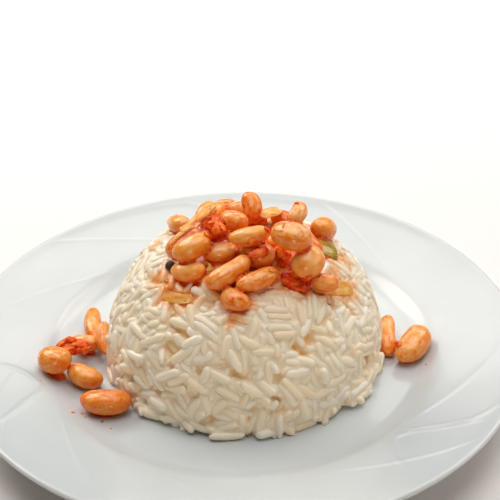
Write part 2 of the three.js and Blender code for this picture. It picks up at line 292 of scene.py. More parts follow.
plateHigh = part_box("plate")[1] / mm
plate = {
    "radius": plateHigh.x,
    "rim": plateHigh.z,
    "well": 6.5,  # height of the well's floor
    "wellRadius": 58.5,
    "shoulderRadius": 66.5,
    "foot": (46.5, 50.5),  # inside and outside of the foot ring
    "footRecess": 2.2,  # how far the middle of the underside stands off the table
    "steps": 640,  # round the plate
    "step": 0.62,  # spacing of the rings on the rim
}
swirl = {
    "count": 10,  # long faint lines that sweep from the shoulder to the edge
    "start": -155.0,
    "sweep": 44.0,
    "height": 0.17,
    "crest": 0.55,  # mm over which the line's steep side falls
    "tail": 3.6,  # and its gentle side
}
ribbons = {
    "starts": (-158, -44, 76),  # degrees, where three raised ribbons leave the shoulder
    "lines": (((67.6, 0), (72, 1.2), (79, 5), (86, 10), (92, 17)),  # radius and further turn
              ((70, -3), (74, 3), (81, 7), (89, 10)),
              ((68, 0), (70.4, -4.5), (73.5, -8), (78, -10.5), (83, -11))),
    "height": 0.36,
    "half": 0.75,  # mm from a line's crest to its foot
}


def smoothLine(points, spacing):
    # a Catmull-Rom line through the points
    points = np.array(points, dtype=float)
    padded = np.vstack([2 * points[0] - points[1], points, 2 * points[-1] - points[-2]])
    line = []
    for i in range(len(points) - 1):
        p0, p1, p2, p3 = padded[i:i + 4]
        count = max(2, round(np.linalg.norm(p2 - p1) / spacing))
        for t in np.arange(count) / count:
            line.append(0.5 * (2 * p1 + (p2 - p0) * t + (2 * p0 - 5 * p1 + 4 * p2 - p3) * t ** 2
                               + (3 * p1 - p0 - 3 * p2 + p3) * t ** 3))
    return line + [points[-1]]


def plateOutline():
    # from the middle of the well over the rim to the middle of the underside: radius and height
    r, z, well = plate["radius"], plate["rim"], plate["well"]
    inner, outer = plate["foot"]
    recess = plate["footRecess"]
    floor = [(0, well), (30, well), (54, well)]
    rimTop = [(plate["wellRadius"] - 1.5, well + 0.02), (60.5, 6.95), (64, 8.35), (67, 9.95),
              (70.5, 11.1), (80, 13.3), (89, 15.6), (r - 1.6, z - 0.25)]
    lip = [(r - 0.9, z), (r - 0.25, z - 0.25), (r, z - 0.8), (r - 0.35, z - 1.6)]
    under = [(87, 11.7), (74, 8.3), (58, 3.8), (52.4, 2.3)]
    foot = [(outer + 0.7, 1.4), (outer, 0.35), (outer - 0.6, 0), (inner + 0.6, 0), (inner, 0.35),
            (inner - 0.9, 1.7), (inner - 1.9, recess)]
    return (smoothLine(floor, 8) + smoothLine(rimTop, plate["step"]) + smoothLine(lip, 0.45)
            + smoothLine(under, 2.5) + smoothLine(foot, 0.8) + [(30, recess), (0, recess)])


def swirlRelief(radius, angle):
    # height of the raised lines on the rim, in mm
    inner, outer = plate["shoulderRadius"] + 0.6, plate["radius"] - 1.8
    share = np.clip((radius - inner) / (outer - inner), 0, 1)
    height = np.zeros_like(radius)
    for i in range(swirl["count"]):
        start = math.radians(swirl["start"] + 360 / swirl["count"] * i)
        line = start + math.radians(swirl["sweep"]) * share ** 0.62
        across = ((angle - line + math.pi) % (2 * math.pi) - math.pi) * radius
        side = np.where(across < 0, np.exp(-(across / swirl["crest"]) ** 2),
                        np.exp(-np.abs(across) / swirl["tail"]))
        height += swirl["height"] * side
    x, y = radius * np.cos(angle), radius * np.sin(angle)
    for start in ribbons["starts"]:
        for points in ribbons["lines"]:
            line = np.array(smoothLine(points, 0.5))
            lineX = line[:, 0] * np.cos(np.radians(start + line[:, 1]))
            lineY = line[:, 0] * np.sin(np.radians(start + line[:, 1]))
            far = np.hypot(x[:, None] - lineX, y[:, None] - lineY)
            nearest = far.argmin(1) / (len(line) - 1)
            strength = np.sin(math.pi * np.clip(nearest * 0.9 + 0.08, 0, 1)) ** 0.6
            height += ribbons["height"] * strength * np.exp(-(far.min(1) / ribbons["half"]) ** 2)
    fade = np.clip(share * 9, 0, 1) * np.clip((1 - share) * 9, 0, 1)
    return height * fade


def makePlate(look):
    outline = plateOutline()
    mesh = bpy.data.meshes.new("plate")
    mesh.from_pydata([(radius * mm, 0, height * mm) for radius, height in outline],
                     [(i, i + 1) for i in range(len(outline) - 1)], [])
    dish = bpy.data.objects.new("porcelainPlate", mesh)
    scene.collection.objects.link(dish)
    turned = dish.modifiers.new("turned", "SCREW")
    turned.steps = turned.render_steps = plate["steps"]
    turned.use_merge_vertices = True
    turned.merge_threshold = 1e-6
    applyModifiers(dish)
    closeMesh(dish)
    places = vertexArray(dish) / mm
    radius, angle = np.hypot(places[:, 0], places[:, 1]), np.arctan2(places[:, 1], places[:, 0])
    rimFace = (radius > plate["shoulderRadius"]) & (places[:, 2] > 8 + 0.18 * (radius - 60))
    places[rimFace, 2] += swirlRelief(radius[rimFace], angle[rimFace])
    # a hand-finished dish is never quite true
    places[:, 2] += np.where(places[:, 2] > 6, 0.12 * np.sin(2 * angle + 0.6) * (radius / 95) ** 2, 0)
    setVertices(dish, places * mm)
    finishPiece(dish, look, ["plate"])
    return dish


def glazedPorcelain():
    # hard white feldspar porcelain, dipped and fired: a clear wet gloss over a faintly cool body,
    # bare and matt only where the foot ring stood in the kiln
    look, shader = startMaterial("glazedPorcelain", {
        "IOR": 1.42, "Coat Weight": 0.3, "Coat Roughness": 0.06, "Coat IOR": 1.5})
    place = addNode(look, "ShaderNodeTexCoord")
    clouds = addNode(look, "ShaderNodeTexNoise", {"Scale": 1 / (28 * mm), "Detail": 2.0}, {
        "Vector": (place, "Object")})
    body = addNode(look, "ShaderNodeValToRGB", {"stops": [(0.3, "#cad1d3"), (0.7, "#d0d6d8")]}, {
        "Fac": (clouds, "Fac")})
    parts = addNode(look, "ShaderNodeSeparateXYZ", links={"Vector": (place, "Object")})
    bare = addNode(look, "ShaderNodeMapRange", {
        "From Min": 0.3 * mm, "From Max": 0.7 * mm, "To Min": 1.0, "To Max": 0.0}, {
        "Value": (parts, "Z")})
    colour = addNode(look, "ShaderNodeMix", {"data_type": "RGBA", 7: linear("#d9d2c6")}, {
        0: (bare, "Result"), 6: (body, "Color")})
    rough = addNode(look, "ShaderNodeMapRange", {"To Min": 0.2, "To Max": 0.8}, {
        "Value": (bare, "Result")})
    peel = addNode(look, "ShaderNodeTexNoise", {"Scale": 1 / (6 * mm), "Detail": 1.0}, {
        "Vector": (place, "Object")})
    bump = addNode(look, "ShaderNodeBump", {"Strength": 0.06, "Distance": 0.3 * mm}, {
        "Height": (peel, "Fac")})
    wire(look, shader, {
        "Base Color": (colour, 2), "Roughness": (rough, "Result"), "Normal": (bump, "Normal")})
    return look


makePlate(glazedPorcelain())
print("plate done")


mould = {
    "centre": (1.6, 1.5),
    "radius": 47.0,  # of the rice as turned out, grains and all
    "height": 45.6,
    "base": plate["well"] + 0.1,
    "sideCurve": 2.5,
    "topCurve": 2.25,
    "unevenness": 0.008,
    "shell": 4.6,  # how deep the real grains go; the core fills the rest
}
grains = {
    "count": 2000,
    "length": (6.4, 9.2),
    "width": 3.15,
    "thickness": 2.75,
    "flatness": 0.75,  # how far they lie along the heap's face
    "broken": 0.05,  # share of short ones
    "sides": 8,
    "rings": 7,
    "rounds": 45,  # of easing the grains apart
    "foot": 20,  # loose ones fallen on the plate round the foot
}
starch = {"voxel": 0.72, "softening": 4, "sink": 0.2}  # mm: what fills the creases between them
easing = {
    # a grain counts as a row of balls while the grains are eased apart: places over its half length,
    # and radii in mm
    "offsets": np.array([-0.78, -0.4, 0.0, 0.4, 0.78]),
    "radii": np.array([0.8, 1.0, 1.03, 1.0, 0.8]),
    "reach": 4.2,  # mm within which two balls may come to touch
    "search": 10,  # rounds between two searches for such pairs
    "apart": 0.5,  # how much of each overlap a round takes away
    "clear": 0.8,  # of the overlap with a topping
    "up": 0.7,  # of what is too deep
    "down": 0.9,  # of what stands too far out
    "shift": 1.5,  # how far a grain goes, over the mean of its balls' moves
    "twist": 0.9,  # and how far it turns
}


def mouldSwell(angle, height):
    low = 1 - height / mould["height"]
    waves = np.sin(2 * angle + 0.7) + np.sin(5 * angle + 2) * low + np.sin(3 * angle - height / 6)
    return 1 + mould["unevenness"] * waves


def mouldReach(points):
    # 1 on the mould's face, below 1 inside, about even steps with depth
    x, y = points[:, 0] - mould["centre"][0], points[:, 1] - mould["centre"][1]
    z = np.maximum(points[:, 2] - mould["base"], 0)
    radius = mould["radius"] * mouldSwell(np.arctan2(y, x), z)
    level = (np.hypot(x, y) / radius) ** mould["sideCurve"] + (z / mould["height"]) ** mould["topCurve"]
    return level ** 0.42


def mouldDepth(points):
    # distance under the mould's face, and the way out
    here = mouldReach(points)
    step = 0.05
    slope = np.stack([mouldReach(points + step * axis) - here for axis in np.eye(3)], axis=1) / step
    steep = np.linalg.norm(slope, axis=1) + 1e-9
    return (1 - here) / steep, slope / steep[:, None]


def nodePoints(name):
    mesh = frame["nodes"][name].data
    places = np.zeros(len(mesh.vertices) * 3)
    mesh.vertices.foreach_get("co", places)
    return np.unique(np.round(places.reshape(-1, 3) / mm, 3), axis=0)


def nodeAxes(name):
    # a CAD piece's middle, its axes from longest to shortest and its half sizes
    points = nodePoints(name)
    middle = points.mean(0)
    values, vectors = np.linalg.eigh(np.cov((points - middle).T))
    axes = vectors[:, ::-1].T
    own = (points - middle) @ axes.T
    if np.sum(own[:, 1] * (own[:, 0] ** 2 - np.mean(own[:, 0] ** 2))) < 0:
        axes[1] *= -1
    axes[2] = np.cross(axes[0], axes[1])
    if axes[2][2] < 0:
        axes[0] *= -1
        axes[2] *= -1
    own = (points - middle) @ axes.T
    low, high = own.min(0), own.max(0)
    return middle + (low + high) / 2 @ axes, axes, (high - low) / 2


toppings = {name: nodeAxes(name) for name in frame["nodes"] if name not in ("plate", "rice_mound")}


def ballRow(name):
    # a topping as a row of balls, or as a sheet of them if it is flat
    middle, axes, half = toppings[name]
    thick = half[2]
    acrossCount = max(1, round(half[1] / thick))
    alongCount = max(2, round(1.6 * half[0] / thick))
    radius = thick * (1 if acrossCount > 1 else 1.06)
    balls = []
    for along in np.linspace(-1, 1, alongCount):
        for across in np.linspace(-1, 1, acrossCount) if acrossCount > 1 else (0.0,):
            place = middle + axes[0] * along * (half[0] - thick) + axes[1] * across * (half[1] - thick)
            balls.append([*place, radius])
    return balls


def toppingBalls():
    # which the grains keep clear of
    return np.array([ball for name in toppings for ball in ballRow(name)])


hollows = np.array([
    # x, y, z and radius of holes in the rice: a crack down its left, and small gaps in front
    (-33.0, -28.5, 38.0, 2.8), (-34.2, -30.6, 33.5, 3.0), (-35.0, -31.6, 28.5, 3.2),
    (-35.4, -31.2, 23.5, 2.8),
    (-3.0, -42.0, 29.0, 2.4), (9.5, -46.0, 15.5, 2.8), (-17.0, -39.0, 33.5, 1.8),
    (16.0, -37.5, 33.0, 1.4),
])
oilSpots = np.array([
    # x, y, z and radius of rice that oil from the sauce has run into
    (-26.0, -11.0, 43.5, 2.4), (-22.0, -17.0, 44.0, 2.6), (-17.5, -21.5, 44.0, 1.8),
    (-27.0, 8.0, 43.5, 1.2), (27.0, -15.0, 44.5, 2.2), (34.0, 1.0, 41.5, 2.2),
    (31.0, -8.0, 43.0, 1.5), (-2.0, -31.0, 41.5, 1.4), (16.0, 24.0, 48.0, 3.0),
    (6.0, 26.0, 49.0, 3.0),
])


def nearPairs(balls, reach, perGrain):
    tree = KDTree(len(balls))
    for i, ball in enumerate(balls):
        tree.insert(ball, i)
    tree.balance()
    first, second = [], []
    for i, ball in enumerate(balls):
        for _, j, _ in tree.find_range(ball, reach):
            if j > i and j // perGrain != i // perGrain:
                first.append(i)
                second.append(j)
    return np.array(first), np.array(second)


def scatterGrains():
    # first places: anywhere in the shell that is clear of the toppings
    obstacles = np.vstack([toppingBalls(), hollows])
    centres, shell = [], mould["shell"]
    while len(centres) < grains["count"]:
        tries = dice.uniform((-50, -50, mould["base"]), (53, 53, 54), (6000, 3))
        depth, _ = mouldDepth(tries)
        far = np.linalg.norm(tries[:, None] - obstacles[None, :, :3], axis=2)
        clear = np.min(far - obstacles[:, 3], axis=1)
        kept = tries[(depth > 1.2) & (depth < shell - 0.6) & (clear > 1.0)]
        centres.extend(kept)
    centres = np.array(centres[:grains["count"]])
    _, out = mouldDepth(centres)
    loose = dice.normal(size=centres.shape)
    along = loose - grains["flatness"] * np.sum(loose * out, axis=1)[:, None] * out
    return centres, along / np.linalg.norm(along, axis=1)[:, None], obstacles


def looseness(centres):
    # how far a grain may stand out of the mould's face: most low down in front
    front = np.clip(-centres[:, 1] / 40 + 0.25, 0, 1)
    slack = 1.6 * np.clip((40 - centres[:, 2]) / 18, 0.1, 1) * dice.random(len(centres)) ** 2
    foot = 1.5 * np.clip((17 - centres[:, 2]) / 8, 0, 1) * dice.random(len(centres))
    sunken = np.clip(noiseAt(centres, 5.0, 2.0) - 0.05, 0, 0.35) * 8.0 * (0.25 + 0.75 * front)
    return 0.1 + front * (slack + foot) - sunken


def plateLevel(places):
    radius = np.hypot(places[:, 0], places[:, 1])
    return plate["well"] + np.where(radius > 61, (radius - 61) * 0.7, 0)


def easeGrains():
    centres, along, obstacles = scatterGrains()
    count, chain = len(centres), len(easing["offsets"])
    lengths = dice.uniform(*grains["length"], count)
    lengths[dice.random(count) < grains["broken"]] *= 0.65
    freedom = looseness(centres)
    radii = np.tile(easing["radii"], count)
    owner = np.repeat(np.arange(count), chain)
    arm = easing["offsets"][None, :] * lengths[:, None] / 2
    armSquare = np.sum(arm ** 2, axis=1)
    for turn in range(grains["rounds"]):
        balls = (centres[:, None] + along[:, None] * arm[:, :, None]).reshape(-1, 3)
        if turn % easing["search"] == 0:
            first, second = nearPairs(balls, easing["reach"], chain)
        move = np.zeros_like(balls)
        gap = balls[second] - balls[first]
        far = np.linalg.norm(gap, axis=1) + 1e-9
        overlap = np.maximum(radii[first] + radii[second] - far, 0)
        push = gap * (overlap / far * easing["apart"])[:, None]
        for axis in range(3):
            move[:, axis] += np.bincount(second, push[:, axis], len(balls))
            move[:, axis] -= np.bincount(first, push[:, axis], len(balls))
        for ball in obstacles:
            away = balls - ball[:3]
            far = np.linalg.norm(away, axis=1)
            close = far < radii + ball[3]
            overlap = ((radii + ball[3] - far) / (far + 1e-9))[close][:, None]
            move[close] += away[close] * overlap * easing["clear"]
        depth, out = mouldDepth(balls)
        tooFarOut = np.maximum(radii - freedom[owner] - depth, 0)
        tooDeep = np.maximum(depth + radii - mould["shell"], 0)
        move += out * (easing["up"] * tooDeep - easing["down"] * tooFarOut)[:, None]
        move[:, 2] += np.maximum(plateLevel(balls) + radii - balls[:, 2], 0)
        move = move.reshape(count, chain, 3)
        centres += move.mean(1) * easing["shift"]
        twist = np.sum(np.cross(along[:, None] * arm[:, :, None], move), axis=1) / armSquare[:, None]
        along += np.cross(twist * easing["twist"], along)
        along /= np.linalg.norm(along, axis=1)[:, None]
    return centres, along, lengths, freedom, obstacles


def footGrains():
    # grains that came away with the mould and lie on the plate at the heap's front
    count = grains["foot"]
    angle = np.radians(dice.uniform(-172, -8, count))
    out = mould["radius"] + dice.uniform(-1.2, 1.0, count)
    x, y = mould["centre"][0] + out * np.cos(angle), mould["centre"][1] + out * np.sin(angle)
    turn = angle + math.pi / 2 + dice.normal(0, 0.6, count)
    z = mould["base"] + grains["thickness"] / 2 + dice.uniform(0, 1.2, count)
    lengths = dice.uniform(*grains["length"], count)
    # the first is the long one that lies flat right in front
    x[0], y[0], z[0] = -4.8, -46.4, mould["base"] + grains["thickness"] / 2
    turn[0], lengths[0] = 0.05, 10.4
    along = np.stack([np.cos(turn), np.sin(turn), 0 * x], axis=1)
    return np.stack([x, y, z], axis=1), along, lengths


def grainBall(sides, rings):
    # a unit ball with its poles on X: vertices and faces
    turns = np.arange(sides) / sides * 2 * math.pi
    vertices = [(-1, 0, 0)]
    for k in range(1, rings):
        tilt = math.pi * k / rings
        vertices += [(-math.cos(tilt), math.sin(tilt) * math.cos(a), math.sin(tilt) * math.sin(a))
                     for a in turns]
    vertices.append((1, 0, 0))
    last = len(vertices) - 1
    faces = [(0, 1 + (s + 1) % sides, 1 + s) for s in range(sides)]
    for k in range(rings - 2):
        low, high = 1 + k * sides, 1 + (k + 1) * sides
        faces += [(low + s, low + (s + 1) % sides, high + (s + 1) % sides, high + s)
                  for s in range(sides)]
    top = last - sides
    faces += [(last, top + s, top + (s + 1) % sides) for s in range(sides)]
    return np.array(vertices), faces


def makeGrains():
    centres, along, lengths, freedom, obstacles = easeGrains()
    fallen, lying, spans = footGrains()
    centres, along = np.vstack([centres, fallen]), np.vstack([along, lying])
    lengths, freedom = np.append(lengths, spans), np.append(freedom, np.full(len(spans), 3.0))
    count = len(centres)
    depth, out = mouldDepth(centres)
    through = out - np.sum(out * along, axis=1)[:, None] * along
    through /= np.linalg.norm(through, axis=1)[:, None] + 1e-9
    roll = dice.normal(0, 0.5, count)[:, None]
    side = np.cross(through, along)
    through, side = (through * np.cos(roll) + side * np.sin(roll),
                     side * np.cos(roll) - through * np.sin(roll))
    unit, faces = grainBall(grains["sides"], grains["rings"])
    blunt = np.sign(unit) * np.abs(unit) ** (2 / np.array([3.5, 2.25, 2.25]))
    size = np.stack([lengths / 2 + 0.45, np.full(count, grains["width"] / 2),
                     np.full(count, grains["thickness"] / 2)], axis=1)
    size[:, 1:] *= dice.uniform(0.86, 1.08, (count, 1))
    own = blunt[None] * size[:, None]
    share = blunt[None, :, 0]
    taper = 1 + dice.uniform(-0.1, 0.1, (count, 1)) * share
    own[:, :, 1] = own[:, :, 1] * taper + dice.uniform(-0.75, 0.75, (count, 1)) * (share ** 2 - 0.4)
    own[:, :, 2] = own[:, :, 2] * taper + dice.uniform(-0.3, 0.3, (count, 1)) * (share ** 2 - 0.4)
    own[:, :, 1:] *= dice.uniform(0.92, 1.07, (count, len(unit), 1))  # cooked grains are a little lumpy
    places = (centres[:, None] + own[:, :, :1] * along[:, None] + own[:, :, 1:2] * side[:, None]
              + own[:, :, 2:] * through[:, None]).reshape(-1, 3)
    # the mould has pressed its face flat, except where grains came loose
    buried, outward = mouldDepth(places)
    held = np.clip(1.3 - 1.2 * np.repeat(freedom, len(unit)), 0, 1) * 0.45
    places -= outward * (np.maximum(-buried, 0) * held)[:, None]
    allFaces = [tuple(i + g * len(unit) for i in face) for g in range(count) for face in faces]
    rice = meshPiece("riceGrains", places * mm, allFaces)
    saucy = obstacles[:-len(hollows)]
    saucy = np.vstack([saucy[saucy[:, 2] > 30], oilSpots])
    return rice, np.repeat(dice.random(count), len(unit)), saucy


def clearance(points, balls):
    # distance from each point to the nearest ball's face
    nearest = []
    for part in np.array_split(points, 1 + len(points) // 8000):
        far = np.linalg.norm(part[:, None] - balls[None, :, :3], axis=2) - balls[:, 3]
        nearest.append(far.min(1))
    return np.concatenate(nearest)


def keepOuterShells(piece):
    # pockets of air closed in under the grains go
    outer = mouldDepth(vertexArray(piece) / mm)[0] < 0.7
    pick(piece)
    bpy.ops.object.mode_set(mode="EDIT")
    bpy.ops.mesh.select_mode(type="VERT")
    bpy.ops.mesh.select_all(action="DESELECT")
    bpy.ops.object.mode_set(mode="OBJECT")
    piece.data.vertices.foreach_set("select", outer)
    bpy.ops.object.mode_set(mode="EDIT")
    bpy.ops.mesh.select_linked()
    bpy.ops.mesh.select_all(action="INVERT")
    bpy.ops.mesh.delete(type="VERT")
    bpy.ops.object.mode_set(mode="OBJECT")


def markRice(piece, tones, balls):
    places = vertexArray(piece) / mm
    setAttribute(piece, "tone", tones)
    setAttribute(piece, "nearSauce", clearance(places, balls))
    # depth under the heap's face, which the rice's look turns into painted warm yellow shade in the gaps
    setAttribute(piece, "depth", mouldDepth(places)[0])


def makeRice(look):
    # grains that were pressed together hot stick to each other: under the ones that show, one softened
    # skin of them all fills the creases
    rice, tones, balls = makeGrains()
    filling = rice.copy()
    filling.data = rice.data.copy()
    scene.collection.objects.link(filling)
    filling = joinPieces([filling, makeCore()], "riceStarch")
    makeOneSkin(filling, starch["voxel"], starch["softening"])
    sunk = filling.modifiers.new("sunk", "DISPLACE")
    sunk.mid_level = 0
    sunk.strength = -starch["sink"] * mm
    applyModifiers(filling)
    keepOuterShells(filling)
    markRice(filling, np.full(len(filling.data.vertices), 0.4), balls)
    markRice(rice, tones, balls)
    finishPiece(filling, look, ["rice_mound"])
    finishPiece(rice, look, ["rice_mound"])
    return rice


def makeCore():
    # the inside, shaped after the mould, which shows only down the gaps
    bpy.ops.mesh.primitive_uv_sphere_add(segments=72, ring_count=36, radius=1)
    core = bpy.context.object
    core.name = "riceCore"
    unit = vertexArray(core)
    unit[:, 2] = np.maximum(unit[:, 2], 0)
    inner = mould["shell"] - 1.3
    angle = np.arctan2(unit[:, 1], unit[:, 0])
    across = np.hypot(unit[:, 0], unit[:, 1])
    rise = np.arcsin(np.clip(unit[:, 2], 0, 1))
    height = (mould["height"] - inner) * np.sin(rise) ** (2 / mould["topCurve"])
    widest = mould["radius"] - inner
    side = widest * np.cos(rise) ** (2 / mould["sideCurve"]) * mouldSwell(angle, height)
    under = widest * across * mouldSwell(angle, 0 * angle)
    radius = np.where(unit[:, 2] > 1e-6, side, under)
    x, y = mould["centre"][0] + radius * np.cos(angle), mould["centre"][1] + radius * np.sin(angle)
    places = np.stack([x, y, mould["base"] + height], axis=1)
    lumps = noiseAt(places, 2.4, 3.0)
    places += np.where(unit[:, 2:] > 1e-6, unit * lumps[:, None] * 0.5, 0)
    setVertices(core, places * mm)
    closeMesh(core)
    return core


def butteredRice():
    # boiled medium-grain rice turned in butter: starchy white and half see-through, under a thin wet
    # film of fat, with painted warm yellow shade that deepens down the gaps; orange oil has soaked in
    # beside the sauce
    look, shader = startMaterial("butteredRice", {
        "Roughness": 0.34, "IOR": 1.42, "Subsurface Weight": 0.32, "Subsurface Scale": 0.8 * mm,
        "Subsurface Radius": (1.0, 0.9, 0.72), "Coat Weight": 0.22, "Coat Roughness": 0.16})
    place = addNode(look, "ShaderNodeTexCoord")
    tone = addNode(look, "ShaderNodeAttribute", {"attribute_name": "tone"})
    white = addNode(look, "ShaderNodeValToRGB", {
        "stops": [(0.0, "#ffeacb"), (0.5, "#ffefd6"), (1.0, "#fff4e2")]}, {"Fac": (tone, "Fac")})
    depth = addNode(look, "ShaderNodeAttribute", {"attribute_name": "depth"})
    # painted shade: the deeper a point lies under the heap's face, the warmer and yellower it is made
    gapShadeAmount = addNode(look, "ShaderNodeMapRange", {"From Min": 0.9, "From Max": 3.0}, {
        "Value": (depth, "Fac")})
    paintedGapShade = addNode(look, "ShaderNodeMix", {"data_type": "RGBA", 7: linear("#f0b452")}, {
        0: (gapShadeAmount, "Result"), 6: (white, "Color")})
    near = addNode(look, "ShaderNodeAttribute", {"attribute_name": "nearSauce"})
    patches = addNode(look, "ShaderNodeTexNoise", {
        "Scale": 1 / (3.2 * mm), "Detail": 3.0, "Roughness": 0.65}, {"Vector": (place, "Object")})
    spread = addNode(look, "ShaderNodeMath", {"operation": "MULTIPLY_ADD", 1: 9.0, 2: -2.6}, {
        0: (patches, "Fac")})
    soaked = addNode(look, "ShaderNodeMath", {"operation": "SUBTRACT"}, {
        0: (spread, "Value"), 1: (near, "Fac")})
    stain = addNode(look, "ShaderNodeMapRange", {"From Min": -1.2, "From Max": 2.4, "To Max": 0.9}, {
        "Value": (soaked, "Value")})
    oil = addNode(look, "ShaderNodeMix", {"data_type": "RGBA", 7: linear("#f79c38")}, {
        0: (stain, "Result"), 6: (paintedGapShade, 2)})
    skin = addNode(look, "ShaderNodeTexNoise", {"Scale": 1 / (0.9 * mm), "Detail": 2.0}, {
        "Vector": (place, "Object")})
    bump = addNode(look, "ShaderNodeBump", {"Strength": 0.12, "Distance": 0.25 * mm}, {
        "Height": (skin, "Fac")})
    wire(look, shader, {"Base Color": (oil, 2), "Normal": (bump, "Normal")})
    return look


rice = makeRice(butteredRice())
print("rice done", len(rice.data.polygons))

beanMesh = {"segments": 26, "rings": 18, "squareness": 2.25, "lump": 0.2, "lumpSize": 4.5}
plainBean = {
    "tone": 0.5,  # 0 pale, 1 amber
    "sauce": 0.35,  # how much red oil has dried on in streaks
    "wrinkle": 0.05,  # mm, of the skin
    "waist": 0.0,  # how far the middle is drawn in, and where
    "waistAt": 0.0,
    "dent": 0.35,  # mm, of the hollow at the bean's eye
    "taper": 0.06,
    "fold": 0.0,  # mm, of a loose flap of skin
}
beanMarks = {
    "bean_04": {"tone": 0.9, "sauce": 0.9},
    "bean_05": {"tone": 0.9, "sauce": 0.9},
    "bean_06": {"tone": 0.9, "sauce": 0.9},
    "bean_07": {"tone": 0.3, "sauce": 0.2},
    "bean_08": {"tone": 0.4, "sauce": 0.45, "taper": 0.1},
    "bean_09": {"tone": 0.45, "sauce": 0.25},
    "bean_10": {"tone": 0.45, "sauce": 0.6, "wrinkle": 0.13, "taper": -0.14},
    "bean_11": {"tone": 0.45, "sauce": 0.6, "wrinkle": 0.1, "taper": 0.12},
    "bean_12": {"tone": 0.4, "sauce": 0.6, "wrinkle": 0.1, "waist": 0.16, "waistAt": 0.3, "taper": 0.05},
    "bean_13": {"tone": 0.5, "sauce": 0.5},
    "bean_14": {"tone": 0.3, "sauce": 0.85, "wrinkle": 0.16, "fold": 0.35},
    "bean_15": {"tone": 0.45, "sauce": 0.15, "wrinkle": 0.03, "dent": 0.1, "taper": 0.0},
    "bean_16": {"tone": 0.7, "sauce": 0.4, "wrinkle": 0.08},
    "bean_17": {"tone": 0.3, "sauce": 0.3},
    "bean_25": {"tone": 0.45, "sauce": 0.35},
    "bean_26": {"tone": 0.4, "sauce": 0.65, "wrinkle": 0.08},
    "bean_27": {"tone": 0.55, "sauce": 0.15, "wrinkle": 0.03},
    "bean_28": {"tone": 0.35, "sauce": 0.6, "wrinkle": 0.13, "dent": 0.2},
    "bean_29": {"tone": 0.45, "sauce": 0.25, "dent": 0.7, "wrinkle": 0.04},
    "bean_30": {"tone": 0.75, "sauce": 0.7, "wrinkle": 0.1},
    "bean_31": {"tone": 0.25, "sauce": 0.4},
    "bean_32": {"tone": 0.6, "sauce": 0.6, "wrinkle": 0.12},
    "bean_33": {"tone": 0.5, "sauce": 0.4, "wrinkle": 0.05},
    "bean_34": {"tone": 0.35, "sauce": 0.45},
    "bean_35": {"tone": 0.5, "sauce": 0.55, "wrinkle": 0.12},
    "bean_36": {"tone": 0.5, "sauce": 0.6, "wrinkle": 0.08},
    "bean_37": {"tone": 0.6, "sauce": 0.7, "wrinkle": 0.2, "fold": 0.4},
    "bean_38": {"tone": 0.45, "sauce": 0.55, "wrinkle": 0.1},
    "bean_39": {"tone": 0.4, "sauce": 0.5, "wrinkle": 0.1, "fold": 0.45},
}


def outOf(name, own):
    # a piece's own places, in mm, carried to where its CAD node is
    middle, axes, _ = toppings[name]
    return (middle + own @ axes) * mm


def markOwn(piece, name, **values):
    # each point keeps its place in the piece's own axes, for patterns that follow the piece
    middle, axes, _ = toppings[name]
    own = (vertexArray(piece) / mm - middle) @ axes.T
    setAttribute(piece, "own", own)
    for key, value in values.items():
        setAttribute(piece, key, np.full(len(own), value))


def othersBalls(name):
    # every other topping as a row of balls
    return np.vstack([ballRow(other) for other in toppings if other != name])


def makeBean(name, look):
    half = toppings[name][2]
    mark = {**plainBean, "tone": dice.uniform(0.3, 0.75), "sauce": dice.uniform(0.2, 0.6),
            **beanMarks.get(name, {})}
    bpy.ops.mesh.primitive_uv_sphere_add(
        segments=beanMesh["segments"], ring_count=beanMesh["rings"], radius=1)
    bean = bpy.context.object
    bean.name = name.replace("_", "") + "Skin"
    unit = vertexArray(bean)[:, [2, 0, 1]]
    blunt = np.sign(unit) * np.abs(unit) ** (2 / beanMesh["squareness"])
    share = unit[:, 0]
    girth = 1 + mark["taper"] * share - mark["waist"] * np.exp(-((share - mark["waistAt"]) / 0.3) ** 2)
    own = blunt * half
    own[:, 1:] *= girth[:, None]
    own[:, 1] += 0.1 * half[0] * (share ** 2 - 0.4)
    own[:, 1] -= mark["dent"] * np.exp(-(share / 0.32) ** 2) * np.clip(unit[:, 1], 0, 1) ** 2
    seed = float(int(name[-2:]))
    own += unit * (noiseAt(own, beanMesh["lumpSize"], seed) * beanMesh["lump"])[:, None]
    crinkle = noiseAt(own * (0.35, 1, 1), 1.1, seed + 50) + 0.5 * noiseAt(own, 0.8, seed + 70)
    own -= unit * (np.abs(crinkle) * mark["wrinkle"] * 2)[:, None]
    if mark["fold"]:
        edge = own[:, 1] + 0.5 * noiseAt(own, 4, seed + 90) * half[1] - 0.25 * half[1]
        own += unit * (mark["fold"] * (1 / (1 + np.exp(-edge / 0.25)) - 0.5))[:, None]
    setVertices(bean, outOf(name, own * 0.995))
    roundOff(bean)
    markOwn(bean, name, tone=mark["tone"], sauce=mark["sauce"])
    # how near the other pieces lie, for the sauce and painted shade between them
    setAttribute(bean, "crevice", clearance(vertexArray(bean) / mm, othersBalls(name)))
    # painted light: faces turned up are made paler and faces turned down deeper orange, as light from
    # above would show them
    setAttribute(bean, "drained", [vertex.normal.z - 0.25 for vertex in bean.data.vertices])
    finishPiece(bean, look, [name])
    return bean


